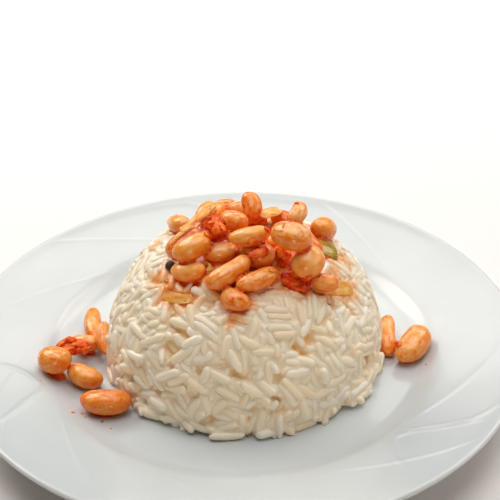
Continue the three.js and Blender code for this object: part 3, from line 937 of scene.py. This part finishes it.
def boiledBean():
    # white beans boiled soft in tomato sauce: a tight glossy skin over a pale floury inside, so light
    # spreads orange under the skin, with streaks and specks where red oil has dried on
    look, shader = startMaterial("boiledBeanSkin", {
        "Roughness": 0.36, "IOR": 1.33, "Subsurface Weight": 0.25, "Subsurface Scale": 0.9 * mm,
        "Subsurface Radius": (1.0, 0.5, 0.25), "Coat Weight": 0.6, "Coat Roughness": 0.07})
    own, tone, sauce, drained, gap = (
        addNode(look, "ShaderNodeAttribute", {"attribute_name": name})
        for name in ("own", "tone", "sauce", "drained", "crevice"))
    place = addNode(look, "ShaderNodeTexCoord")
    # its place on the plate, added to its own places, gives every bean another part of the pattern
    shift = addNode(look, "ShaderNodeVectorMath", {"operation": "MULTIPLY_ADD", 1: (40, 40, 40)}, {
        0: (place, "Object"), 2: (own, "Vector")})
    blotches = addNode(look, "ShaderNodeTexNoise", {"Scale": 1 / 4.5, "Detail": 2.0}, {
        "Vector": (shift, "Vector")})
    lower = addNode(look, "ShaderNodeMath", {"operation": "SUBTRACT", 1: 0.25}, {0: (blotches, "Fac")})
    lean = addNode(look, "ShaderNodeMath", {"operation": "MULTIPLY_ADD", 1: 0.5}, {
        0: (tone, "Fac"), 2: (lower, "Value")})
    # painted light: the skin is paler where it faces up and deeper orange where it faces down
    paintedFacing = addNode(look, "ShaderNodeMath", {"operation": "MULTIPLY_ADD", 1: -0.24}, {
        0: (drained, "Fac"), 2: (lean, "Value")})
    skin = addNode(look, "ShaderNodeValToRGB", {"stops": [
        (0.1, "#ffc282"), (0.32, "#feae54"), (0.55, "#f8942a"), (0.75, "#ef7c10"), (0.95, "#e06404"),
    ]}, {"Fac": (paintedFacing, "Value")})
    stretched = addNode(look, "ShaderNodeMapping", {"Scale": (0.16, 0.8, 0.8)}, {
        "Vector": (shift, "Vector")})
    streaks = addNode(look, "ShaderNodeTexNoise", {
        "Scale": 1.0, "Detail": 4.0, "Roughness": 0.6, "Distortion": 0.6}, {
        "Vector": (stretched, "Vector")})
    specks = addNode(look, "ShaderNodeTexNoise", {"Scale": 0.85, "Detail": 3.0, "Roughness": 0.7}, {
        "Vector": (shift, "Vector")})
    drawn = (skin, "Color")
    for source, width, colour, most in ((streaks, 0.12, "#ee6a08", 0.8), (specks, 0.14, "#e85c08", 0.6)):
        edge = addNode(look, "ShaderNodeMath", {"operation": "MULTIPLY_ADD", 1: -0.24, 2: 0.65}, {
            0: (sauce, "Fac")})
        over = addNode(look, "ShaderNodeMath", {"operation": "SUBTRACT"}, {
            0: (source, "Fac"), 1: (edge, "Value")})
        amount = addNode(look, "ShaderNodeMapRange", {"From Max": width, "To Max": most}, {
            "Value": (over, "Value")})
        painted = addNode(look, "ShaderNodeMix", {"data_type": "RGBA", 7: linear(colour)}, {
            0: (amount, "Result"), 6: drawn})
        drawn = (painted, 2)
    # deeper orange close to other pieces: partly sauce gathered there, partly painted shade between the
    # pieces
    sauceAndShadeNear = addNode(look, "ShaderNodeMapRange", {"From Max": 1.4, "To Min": 0.7, "To Max": 0.0}, {
        "Value": (gap, "Fac")})
    soaked = addNode(look, "ShaderNodeMix", {"data_type": "RGBA", 7: linear("#ea6a06")}, {
        0: (sauceAndShadeNear, "Result"), 6: drawn})
    bump = addNode(look, "ShaderNodeBump", {"Strength": 0.2, "Distance": 0.12 * mm}, {
        "Height": (streaks, "Fac")})
    wire(look, shader, {"Base Color": (soaked, 2), "Normal": (bump, "Normal")})
    return look


beanSkin = boiledBean()
beans = {name: makeBean(name, beanSkin) for name in sorted(toppings) if name.startswith("bean_")}
print("beans done")


tomatoForm = {"detail": 5, "fold": 1.1, "foldSize": 3.8, "crease": 0.6, "creaseSize": 2.4}
onionForm = {"grid": (40, 18), "thickness": 0.5, "rib": 0.09, "ribs": 5, "ripple": 0.45}
pepperForm = {"cuts": 9, "squareness": 6.0, "bow": 0.5}


def pieceName(name):
    first, *rest = name.split("_")
    return first + "".join(word.capitalize() for word in rest) + "Piece"


def makeTomato(name, look):
    # a scrap of cooked tomato: collapsed flesh with its skin in folds
    half = toppings[name][2]
    bpy.ops.mesh.primitive_ico_sphere_add(subdivisions=tomatoForm["detail"], radius=1)
    bit = bpy.context.object
    bit.name = pieceName(name)
    unit = vertexArray(bit)
    seed = float(len(name))
    own = np.sign(unit) * np.abs(unit) ** 0.85 * half
    folds = noiseAt(own, tomatoForm["foldSize"], seed) * tomatoForm["fold"]
    creases = np.abs(noiseAt(own * (0.6, 1, 1), tomatoForm["creaseSize"], seed + 4))
    creases *= tomatoForm["crease"]
    own += unit * (folds - creases)[:, None] * min(1.0, half[2] / 2)
    setVertices(bit, outOf(name, own))
    markOwn(bit, name, ripe=1.0 if name == "tomato_front" else 0.2)
    finishPiece(bit, look, [name])
    return bit


def makeOnion(name, look):
    # one soft layer of cooked onion, ribbed along its length
    half = toppings[name][2]
    along, across = onionForm["grid"]
    bpy.ops.mesh.primitive_grid_add(x_subdivisions=along, y_subdivisions=across, size=2)
    bit = bpy.context.object
    bit.name = pieceName(name)
    u, v = vertexArray(bit)[:, :2].T
    seed = float(len(name))
    wave = noiseAt(np.stack([u * half[0], v * half[1], u * 0], axis=1), 3.5, seed)
    x = half[0] * u * np.sqrt(1 - 0.16 * v ** 2) + 0.5 * wave * np.abs(u)
    bow = 0.11 * half[0] if name == "onion_strip" else 0.04 * half[0]
    y = (half[1] - 0.2) * v * np.sqrt(1 - 0.3 * u ** 2) + bow * (u ** 2 - 0.4) + 0.3 * wave * np.abs(v)
    rib = onionForm["rib"] if name == "onion_strip" else 0.2 * onionForm["rib"]
    z = (onionForm["ripple"] * wave + rib * np.cos(v * math.pi * onionForm["ribs"])
         - x ** 2 / 110 - y ** 2 / 60 + 0.2 * half[2])
    setVertices(bit, outOf(name, np.stack([x, y, z], axis=1)))
    roundOff(bit, onionForm["thickness"])
    closeMesh(bit)
    markOwn(bit, name)
    finishPiece(bit, look, [name])
    return bit


def makePepper(name, look):
    # a cut square of green pepper, bowed and rounded by cooking
    half = toppings[name][2]
    bpy.ops.mesh.primitive_cube_add(size=2)
    bit = bpy.context.object
    bit.name = pieceName(name)
    bpy.ops.object.mode_set(mode="EDIT")
    bpy.ops.mesh.subdivide(number_cuts=pepperForm["cuts"])
    bpy.ops.object.mode_set(mode="OBJECT")
    cube, power = vertexArray(bit), pepperForm["squareness"]
    own = cube * (np.sum(np.abs(cube) ** power, axis=1) ** (-1 / power))[:, None] * half
    own[:, 2] -= pepperForm["bow"] * ((own[:, 0] / half[0]) ** 2 - 0.3)
    own += (0.25 * noiseAt(own, 3.0, 2.0))[:, None] * (1, 0.6, 0.6)
    setVertices(bit, outOf(name, own))
    roundOff(bit)
    markOwn(bit, name)
    finishPiece(bit, look, [name])
    return bit


def makePeppercorn(name, look):
    half = toppings[name][2]
    bpy.ops.mesh.primitive_ico_sphere_add(subdivisions=5, radius=1)
    bit = bpy.context.object
    bit.name = "peppercornBerry"
    unit = vertexArray(bit)
    wrinkles = np.abs(noiseAt(unit * half, 0.8, 1.0))
    setVertices(bit, outOf(name, unit * half * (1.0 - 0.16 * wrinkles)[:, None]))
    finishPiece(bit, look, [name])
    return bit


def stewedTomato():
    # tomato stewed in oil: deep red flesh that light goes into, orange where it is thin, wet all over
    look, shader = startMaterial("stewedTomato", {
        "Roughness": 0.35, "IOR": 1.25, "Subsurface Weight": 0.12, "Subsurface Scale": 0.9 * mm,
        "Subsurface Radius": (1.0, 0.35, 0.15), "Coat Weight": 0.25, "Coat Roughness": 0.12})
    place = addNode(look, "ShaderNodeTexCoord")
    flesh = addNode(look, "ShaderNodeTexNoise", {
        "Scale": 1 / (2.6 * mm), "Detail": 4.0, "Roughness": 0.65}, {"Vector": (place, "Object")})
    ripe = addNode(look, "ShaderNodeAttribute", {"attribute_name": "ripe"})
    deeper = addNode(look, "ShaderNodeMath", {"operation": "MULTIPLY_ADD", 1: -0.12}, {
        0: (ripe, "Fac"), 2: (flesh, "Fac")})
    colour = addNode(look, "ShaderNodeValToRGB", {"stops": [
        (0.3, "#c41c00"), (0.42, "#e64804"), (0.53, "#f47218"), (0.68, "#fca040")]}, {
        "Fac": (deeper, "Value")})
    bump = addNode(look, "ShaderNodeBump", {"Strength": 0.3, "Distance": 0.3 * mm}, {
        "Height": (flesh, "Fac")})
    wire(look, shader, {"Base Color": (colour, "Color"), "Normal": (bump, "Normal")})
    return look


def cookedOnion():
    # onion softened in the sauce: see-through layers stained orange with oil, paler on the ribs
    look, shader = startMaterial("cookedOnion", {
        "Roughness": 0.24, "IOR": 1.3, "Subsurface Weight": 0.15, "Subsurface Scale": 0.8 * mm,
        "Subsurface Radius": (1.0, 0.6, 0.3), "Coat Weight": 0.4, "Coat Roughness": 0.1, "Alpha": 0.72})
    own = addNode(look, "ShaderNodeAttribute", {"attribute_name": "own"})
    lines = addNode(look, "ShaderNodeMapping", {"Scale": (0.3, 0.8, 0.6)}, {"Vector": (own, "Vector")})
    veins = addNode(look, "ShaderNodeTexNoise", {"Scale": 1.0, "Detail": 3.0, "Roughness": 0.55}, {
        "Vector": (lines, "Vector")})
    colour = addNode(look, "ShaderNodeValToRGB", {"stops": [
        (0.3, "#ff9c34"), (0.45, "#ffb450"), (0.6, "#ffcc78"), (0.78, "#ffe2aa")]}, {
        "Fac": (veins, "Fac")})
    bump = addNode(look, "ShaderNodeBump", {"Strength": 0.2, "Distance": 0.15 * mm}, {
        "Height": (veins, "Fac")})
    wire(look, shader, {"Base Color": (colour, "Color"), "Normal": (bump, "Normal")})
    return look


def stewedPepper():
    # green pepper cooked to olive: a waxy skin with fine dimples and yellower flesh where it is cut
    look, shader = startMaterial("stewedPepper", {
        "Roughness": 0.3, "IOR": 1.4, "Subsurface Weight": 0.3, "Subsurface Scale": 1.4 * mm,
        "Subsurface Radius": (0.8, 0.8, 0.2), "Coat Weight": 0.6, "Coat Roughness": 0.12})
    own = addNode(look, "ShaderNodeAttribute", {"attribute_name": "own"})
    cells = addNode(look, "ShaderNodeTexNoise", {"Scale": 0.8, "Detail": 4.0, "Roughness": 0.65}, {
        "Vector": (own, "Vector")})
    colour = addNode(look, "ShaderNodeValToRGB", {
        "stops": [(0.3, "#8c6c0c"), (0.5, "#b09020"), (0.7, "#d0b048")]}, {"Fac": (cells, "Fac")})
    bump = addNode(look, "ShaderNodeBump", {"Strength": 0.35, "Distance": 0.2 * mm}, {
        "Height": (cells, "Fac")})
    wire(look, shader, {"Base Color": (colour, "Color"), "Normal": (bump, "Normal")})
    return look


def driedPeppercorn():
    # a dried black pepper berry: brown-black, wrinkled, with a dull sheen of oil
    look, shader = startMaterial("driedPeppercorn", {
        "Roughness": 0.5, "Coat Weight": 0.2, "Coat Roughness": 0.2})
    place = addNode(look, "ShaderNodeTexCoord")
    grain = addNode(look, "ShaderNodeTexNoise", {"Scale": 1 / (0.7 * mm), "Detail": 3.0}, {
        "Vector": (place, "Object")})
    colour = addNode(look, "ShaderNodeValToRGB", {
        "stops": [(0.35, "#0d0504"), (0.6, "#26100a"), (0.8, "#4a2112")]}, {"Fac": (grain, "Fac")})
    wire(look, shader, {"Base Color": (colour, "Color")})
    return look


makers = {
    "tomato": (makeTomato, stewedTomato()),
    "onion": (makeOnion, cookedOnion()),
    "pepper": (makePepper, stewedPepper()),
    "peppercorn": (makePeppercorn, driedPeppercorn()),
}
bits = {}
for name in sorted(toppings):
    kind = name.split("_")[0]
    if kind in makers:
        make, look = makers[kind]
        bits[name] = make(name, look)
print("tomato, onion, pepper and peppercorn done")


heapSauce = {
    "centre": (3.0, 0.5),
    "voxel": 0.5,
    "softening": 14,
    "top": 2.4,  # mm under the rice's face at its edge
    "middle": -1.6,  # the same in its middle, where it stands over the rice
    "bottom": 4.8,
    "inset": 3.0,  # how far its edge stays inside the heap's
    "spokes": 49,  # directions in which the heap's edge is looked for
    "spread": 0.3,  # radians to each side of a spoke
    "heapRadius": 42,  # toppings further out lie on the plate
}
plateNames = ["bean_%02d" % i for i in (21, 22, 24, *range(32, 40))] + ["tomato_on_plate"]
puddles = {"length": 0.6, "width": 0.62, "height": 0.22, "gap": 2.5}  # over the bean's half sizes; mm
drops = [
    # across and down in the photograph, and radius in mm
    (73, 412, 0.7), (82, 414, 0.5), (102, 422, 0.6), (85, 418, 0.35), (111, 429, 0.4),
    (40, 380, 0.45), (426, 364, 0.4),
]


def surfaceOf(pieces):
    vertices, faces = [], []
    for piece in pieces:
        start = len(vertices)
        vertices += [tuple(place) for place in vertexArray(piece) / mm]
        faces += [tuple(start + i for i in face.vertices) for face in piece.data.polygons]
    return BVHTree.FromPolygons(vertices, faces)


solidFace = surfaceOf(frame["nodes"].values())


def seenAt(across, down, behind=0.0):
    # the place in mm that the photograph shows at a pixel, on the face of the solids or so far behind it
    right, up, ahead = cameraAxes()
    zoom = camera["lens"] / camera["sensor"] * photoWidth
    aside, above = (across - photoWidth / 2) / zoom, (photoWidth / 2 - down) / zoom
    way = (ahead + right * aside + up * above).normalized()
    spot = solidFace.ray_cast(Vector(camera["place"]), way)[0]
    return np.array(spot + way * behind)


def mouldPlace(x, y, depth):
    # height of the rice's face over points of the plan, at a depth under it
    dx, dy = x - mould["centre"][0], y - mould["centre"][1]
    swell = mouldSwell(np.arctan2(dy, dx), np.full_like(dx, mould["height"] / 2))
    share = np.clip(np.hypot(dx, dy) / ((mould["radius"] - depth) * swell), 0, 0.98)
    rise = (1 - share ** mould["sideCurve"]) ** (1 / mould["topCurve"])
    return mould["base"] + (mould["height"] - depth) * rise


def makeHeapSauce(look):
    # all the heap's pieces and the soaked rice under them as one skin, softened until it stands in the
    # creases between them and sinks out of sight elsewhere
    heap = [piece for name, piece in {**beans, **bits}.items()
            if name not in plateNames and not name.startswith("onion")]
    bpy.ops.mesh.primitive_uv_sphere_add(segments=96, ring_count=40, radius=1)
    soaked = bpy.context.object
    unit = vertexArray(soaked)
    angle = np.arctan2(unit[:, 1], unit[:, 0])
    balls = toppingBalls()
    balls = balls[np.hypot(balls[:, 0], balls[:, 1]) < heapSauce["heapRadius"]]
    cx, cy = heapSauce["centre"]
    spokes = np.linspace(-math.pi, math.pi, heapSauce["spokes"])
    aim = np.arctan2(balls[:, 1] - cy, balls[:, 0] - cx)
    far = np.hypot(balls[:, 0] - cx, balls[:, 1] - cy)
    reach = []
    for spoke in spokes:
        off = np.abs((aim - spoke + math.pi) % (2 * math.pi) - math.pi)
        reach.append(far[off < heapSauce["spread"]].max(initial=10))
    edge = np.interp(angle, spokes, reach) - heapSauce["inset"]
    out = np.hypot(unit[:, 0], unit[:, 1])
    x, y = cx + out * edge * np.cos(angle), cy + out * edge * np.sin(angle)
    low = mouldPlace(x, y, heapSauce["bottom"])
    rise = (heapSauce["middle"] - heapSauce["top"]) * (1 - out ** 2)
    high = mouldPlace(x, y, heapSauce["top"] + rise)
    setVertices(soaked, np.stack([x, y, np.where(unit[:, 2] >= 0, high, low)], axis=1) * mm)
    copies = []
    for piece in heap:
        copy = piece.copy()
        copy.data = piece.data.copy()
        for key in list(copy.keys()):
            del copy[key]
        copy.parent = None
        scene.collection.objects.link(copy)
        copies.append(copy)
    soaked = joinPieces([soaked, *copies], "heapSauce")
    makeOneSkin(soaked, heapSauce["voxel"], heapSauce["softening"])
    finishPiece(soaked, look)


def plateTop(radius):
    # height of the plate's upper face
    outline = np.array(plateOutline())
    upper = outline[:int(np.argmax(outline[:, 0]))]
    return np.interp(radius, upper[:, 0], upper[:, 1])


def makePuddles(look):
    # the thin dark rim of sauce that stands where each loose bean meets the plate, and a few drops
    spots = []
    for name in plateNames:
        (x, y, z), axes, half = toppings[name]
        if z - half[2] - plateTop(np.hypot(x, y)) < puddles["gap"]:
            spots.append((x, y, half[0] * puddles["length"], half[1] * puddles["width"],
                          puddles["height"], math.atan2(axes[0][1], axes[0][0])))
    for across, down, radius in drops:
        x, y, _ = seenAt(across, down)
        spots.append((x, y, radius, radius * 0.75, 0.15, 0.6))
    parts = []
    for i, (x, y, halfLength, halfWidth, height, turn) in enumerate(spots):
        bpy.ops.mesh.primitive_uv_sphere_add(segments=40, ring_count=14, radius=1)
        part = bpy.context.object
        unit = vertexArray(part)
        own = unit[:, :2] * (halfLength, halfWidth)
        own *= (1 + 0.08 * noiseAt(np.column_stack([own, own[:, 0] * 0]), 3.0, i + 1.0))[:, None]
        px = x + own[:, 0] * math.cos(turn) - own[:, 1] * math.sin(turn)
        py = y + own[:, 0] * math.sin(turn) + own[:, 1] * math.cos(turn)
        rise = np.where(unit[:, 2] > 0, np.abs(unit[:, 2]) ** 0.7, 0.5 * unit[:, 2]) * height
        pz = plateTop(np.hypot(px, py)) + rise
        setVertices(part, np.stack([px, py, pz], axis=1) * mm)
        parts.append(part)
    finishPiece(joinPieces(parts, "plateSauce"), look)


def tomatoSauce():
    # oil and tomato pulp reduced to a glossy red-orange glaze, darkest where it stands deep
    look, shader = startMaterial("tomatoSauce", {
        "Roughness": 0.3, "IOR": 1.25, "Subsurface Weight": 0.12, "Subsurface Scale": 0.9 * mm,
        "Subsurface Radius": (1.0, 0.4, 0.2), "Coat Weight": 0.35, "Coat Roughness": 0.1})
    place = addNode(look, "ShaderNodeTexCoord")
    pulp = addNode(look, "ShaderNodeTexNoise", {
        "Scale": 1 / (2.2 * mm), "Detail": 4.0, "Roughness": 0.7}, {"Vector": (place, "Object")})
    colour = addNode(look, "ShaderNodeValToRGB", {"stops": [
        (0.3, "#b42600"), (0.45, "#d64400"), (0.58, "#ec6c0c"), (0.72, "#f8a03c")]}, {
        "Fac": (pulp, "Fac")})
    bump = addNode(look, "ShaderNodeBump", {"Strength": 0.5, "Distance": 0.25 * mm}, {
        "Height": (pulp, "Fac")})
    wire(look, shader, {"Base Color": (colour, "Color"), "Normal": (bump, "Normal")})
    return look


sauce = tomatoSauce()
makeHeapSauce(sauce)
makePuddles(sauce)
print("sauce done")


# small scraps of tomato, peel, pepper and herb, each where the photograph shows it
pulpScraps = [
    # across and down in the photograph, mm behind the face seen there, length, width, thickness and
    # heading in degrees
    (248, 243, 0, 3.4, 1.6, 0.8, 20), (252, 240, 0, 2.6, 1.5, 0.9, -30), (256, 246, 0, 4, 2, 1, 35),
    (260, 243, 0, 3.2, 1.8, 1, -20), (256, 241, 0, 2.4, 1.4, 1, 60), (262, 247, 0, 2.6, 1.6, 0.9, 10),
    (267, 243, 0, 3.4, 1.8, 1, 40), (264, 240, 0, 2.8, 1.4, 0.9, -10), (276, 250, 0, 3.6, 2, 1.2, 0),
    (282, 253, 0, 3, 2.2, 1.2, 50), (287, 256, 0, 3.2, 1.8, 1, -30), (291, 222, 0, 2.8, 0.7, 0.4, 50),
    (284, 226, 0, 2.6, 0.6, 0.4, 70), (297, 204, 0, 2, 1.2, 0.6, -35), (243, 205, 0, 3, 0.9, 0.5, 80),
    (258, 211, 0, 2.8, 0.9, 0.5, 75), (262, 222, 0, 3.6, 1.8, 0.9, 20),
    (265, 226, 0, 3.2, 1.8, 0.9, -20), (266, 230, 0, 2.6, 1.6, 0.8, 0), (264, 231, 4, 3, 1.8, 0.9, 40),
    (222, 262, 0, 3, 1.6, 0.8, 30), (203, 222, 0, 4.2, 2.2, 1.1, 60), (210, 226, 0, 3.6, 2.2, 1.1, 20),
    (216, 231, 0, 3.4, 2, 1.1, -40), (222, 226, 0, 3.6, 1.8, 1, -60), (207, 236, 0, 3.4, 2, 1, 10),
    (194, 221, 0, 2.6, 1.1, 0.5, 50), (272, 272, 0, 2.6, 1.6, 0.8, 0),
    (276, 275, 1, 2.8, 1.5, 0.8, 70), (270, 281, 1.5, 2.2, 1.4, 0.7, 20),
    (232, 300, 0, 1.9, 1.2, 0.5, 30), (240, 298, 0, 1.6, 1, 0.5, -20), (306, 279, 0, 3.2, 1.8, 0.9, 10),
    (309, 277, -11.5, 2.4, 1.3, 0.7, -30), (318, 236, 0, 2.8, 1.5, 0.7, 10),
    # on the plate
    (62, 345, 0, 4.6, 2.8, 1.2, 30), (70, 341, 0, 4.8, 3.2, 1.4, -20), (78, 344, 0, 4.6, 3, 1.3, 10),
    (86, 350, 0, 4, 2.6, 1.2, -30), (70, 352, 0, 4.2, 2.6, 1.2, 50), (401, 346, 1.5, 4.2, 2, 1, -70),
]
flakes = [
    # the same, with how red each is: 0 brown-black, 0.35 green, 0.7 red, 1 orange
    (144, 252, 0, 2.4, 1.1, 0.4, 20, 0.35), (147, 285, 0, 1.8, 0.9, 0.4, 70, 0.75),
    (135, 290, 0, 1.6, 0.9, 0.4, 10, 1), (339, 274, 0, 1.3, 1.1, 0.7, 0, 0),
    (178, 310, 0, 1.1, 0.6, 0.3, 40, 0.8), (198, 312, 0, 1.1, 0.6, 0.3, 60, 0.25),
    (208, 315, 0, 1, 0.6, 0.3, -30, 0.2), (218, 316, 0, 1.2, 0.8, 0.3, 80, 0.25),
    (225, 318, 0, 0.9, 0.6, 0.3, 0, 0.6), (150, 251, 0, 2.2, 0.9, 0.4, 10, 1),
    (160, 250, 0, 2.8, 1, 0.4, -10, 1), (168, 292, 0, 1.4, 0.9, 0.4, 20, 0.9),
    (185, 300, 0, 1.1, 0.8, 0.3, 50, 0.9), (174, 296, -1, 1, 0.7, 0.3, 50, 0.95),
    (342, 262, 0, 3, 1.3, 0.5, 40, 1), (345, 268, 0, 2.6, 1.1, 0.5, -20, 0.95),
    (158, 285, 0, 2, 1.2, 0.5, 60, 1), (165, 290, 0, 2.2, 1.2, 0.5, 10, 0.95),
    (275, 212, 0, 3, 1.4, 0.5, 20, 1),
]
strips = {
    # width, thickness, and the line along the middle: across, down and behind, as above
    "pepperPeel": (2.4, 0.5, [(168, 258, 0), (162, 262, 0), (160, 269, -0.5), (161, 275, -1.5),
                              (167, 281, -1), (175, 283, -0.5)]),
    "onionScrap": (3.0, 0.7, [(204, 264, -1.5), (208, 267, -4), (211, 272, 4.5)]),
    "onionFibre": (0.9, 0.5, [(200, 220, 0), (208, 210, 0), (211, 206, 1)]),
    "onionBand": (1.9, 0.6, [(172, 245, 0), (178, 237, -0.5), (186, 231, -0.5), (194, 227, -17.5)]),
    "onionShred": (2.2, 0.7, [(198, 221, 0), (206, 214, 0), (211, 210, 2), (216, 209, -12)]),
}


def scrapFrame(face, place, heading):
    # a spot on the food, its way out, and the scrap's own length and width directions
    spot, normal, _, _ = face.find_nearest(Vector(place))
    along = Vector((math.cos(math.radians(heading)), math.sin(math.radians(heading)), 0.2))
    along = (along - normal * along.dot(normal)).normalized()
    return np.array(spot), np.array(normal), np.array(along), np.array(normal.cross(along))


def makeScraps(name, rows, face, look):
    bpy.ops.mesh.primitive_ico_sphere_add(subdivisions=4, radius=1)
    ball = bpy.context.object
    unit = vertexArray(ball)
    pattern = [tuple(face.vertices) for face in ball.data.polygons]
    bpy.data.objects.remove(ball)
    places, faces, hues = [], [], []
    for i, (*seen, length, width, thickness, heading, hue) in enumerate(rows):
        spot, out, along, across = scrapFrame(face, seenAt(*seen), heading)
        own = np.sign(unit) * np.abs(unit) ** 0.8 * (length / 2, width / 2, thickness / 2)
        rough = noiseAt(own * (1, 1.4, 1.4), 0.34 * width + 0.3, i + 1.0)
        own += unit * rough[:, None] * (0.25 * width, 0.26 * width, 0.2 * thickness)
        own[:, 2] -= own[:, 0] ** 2 * 0.05 + own[:, 1] ** 2 * 0.07
        faces += [tuple(k + len(places) * len(unit) for k in corner) for corner in pattern]
        places.append(spot + out * 0.3 * thickness + own[:, :1] * along + own[:, 1:2] * across
                      + own[:, 2:] * out)
        hues.append(np.full(len(unit), hue))
    scraps = meshPiece(name, np.vstack(places) * mm, faces)
    setAttribute(scraps, "hue", np.concatenate(hues))
    finishPiece(scraps, look)


def makeStrips(name, face, look):
    parts, lanes = [], np.linspace(-1, 1, 7)
    for kind, (width, thickness, seen) in strips.items():
        line = np.array(smoothLine([seenAt(*point) for point in seen], 0.5))
        count = len(line)
        normals = np.array([face.find_nearest(Vector(place))[1] for place in line])
        across = np.cross(normals, np.gradient(line, axis=0))
        across /= np.linalg.norm(across, axis=1)[:, None]
        share = np.linspace(-1, 1, count)
        half = width / 2 * (1 - 0.75 * np.abs(share) ** 3) * (1 + 0.25 * noiseAt(line, 1.6, 9.0))
        grid = []
        for lane in lanes:
            bow = 0.35 * thickness + 0.16 * width * (1 - lane ** 2)
            lift = bow + 0.2 * noiseAt(line + lane, 1.3, 5.0)
            grid.append(line + across * (half * lane)[:, None] + normals * lift[:, None])
        faces = [(r * count + c, r * count + c + 1, (r + 1) * count + c + 1, (r + 1) * count + c)
                 for r in range(len(lanes) - 1) for c in range(count - 1)]
        part = meshPiece(kind, np.vstack(grid) * mm, faces)
        flat = np.stack([np.tile(share * count * 0.25, len(lanes)),
                         np.repeat(lanes * width / 2, count), np.zeros(len(lanes) * count)], axis=1)
        setAttribute(part, "own", flat)
        roundOff(part, thickness)
        closeMesh(part)
        parts.append(part)
    finishPiece(joinPieces(parts, name), look)


def driedFlake():
    # flakes of herb and chilli, and drops of red oil: thin, matt and dark beside the wet food
    look, shader = startMaterial("driedFlake", {
        "Roughness": 0.4, "Coat Weight": 0.3, "Coat Roughness": 0.2})
    hue = addNode(look, "ShaderNodeAttribute", {"attribute_name": "hue"})
    place = addNode(look, "ShaderNodeTexCoord")
    mottle = addNode(look, "ShaderNodeTexNoise", {"Scale": 1 / (0.8 * mm), "Detail": 2.0}, {
        "Vector": (place, "Object")})
    lean = addNode(look, "ShaderNodeMath", {"operation": "SUBTRACT", 1: 0.1}, {0: (hue, "Fac")})
    sway = addNode(look, "ShaderNodeMath", {"operation": "MULTIPLY_ADD", 1: 0.2}, {
        0: (mottle, "Fac"), 2: (lean, "Value")})
    colour = addNode(look, "ShaderNodeValToRGB", {"stops": [
        (0.05, "#3a1408"), (0.2, "#8a5424"), (0.35, "#a89038"), (0.7, "#e04c0c"), (1.0, "#fab050"),
    ]}, {"Fac": (sway, "Value")})
    wire(look, shader, {"Base Color": (colour, "Color")})
    return look


food = surfaceOf([rice, *beans.values(), *bits.values()])
pulpRows = [(*row, 0.5) for row in pulpScraps]
makeScraps("tomatoPulp", pulpRows, food, makers["tomato"][1])
makeScraps("seasoningFlakes", flakes, food, driedFlake())
makeStrips("onionShreds", food, makers["onion"][1])
print("scraps done")
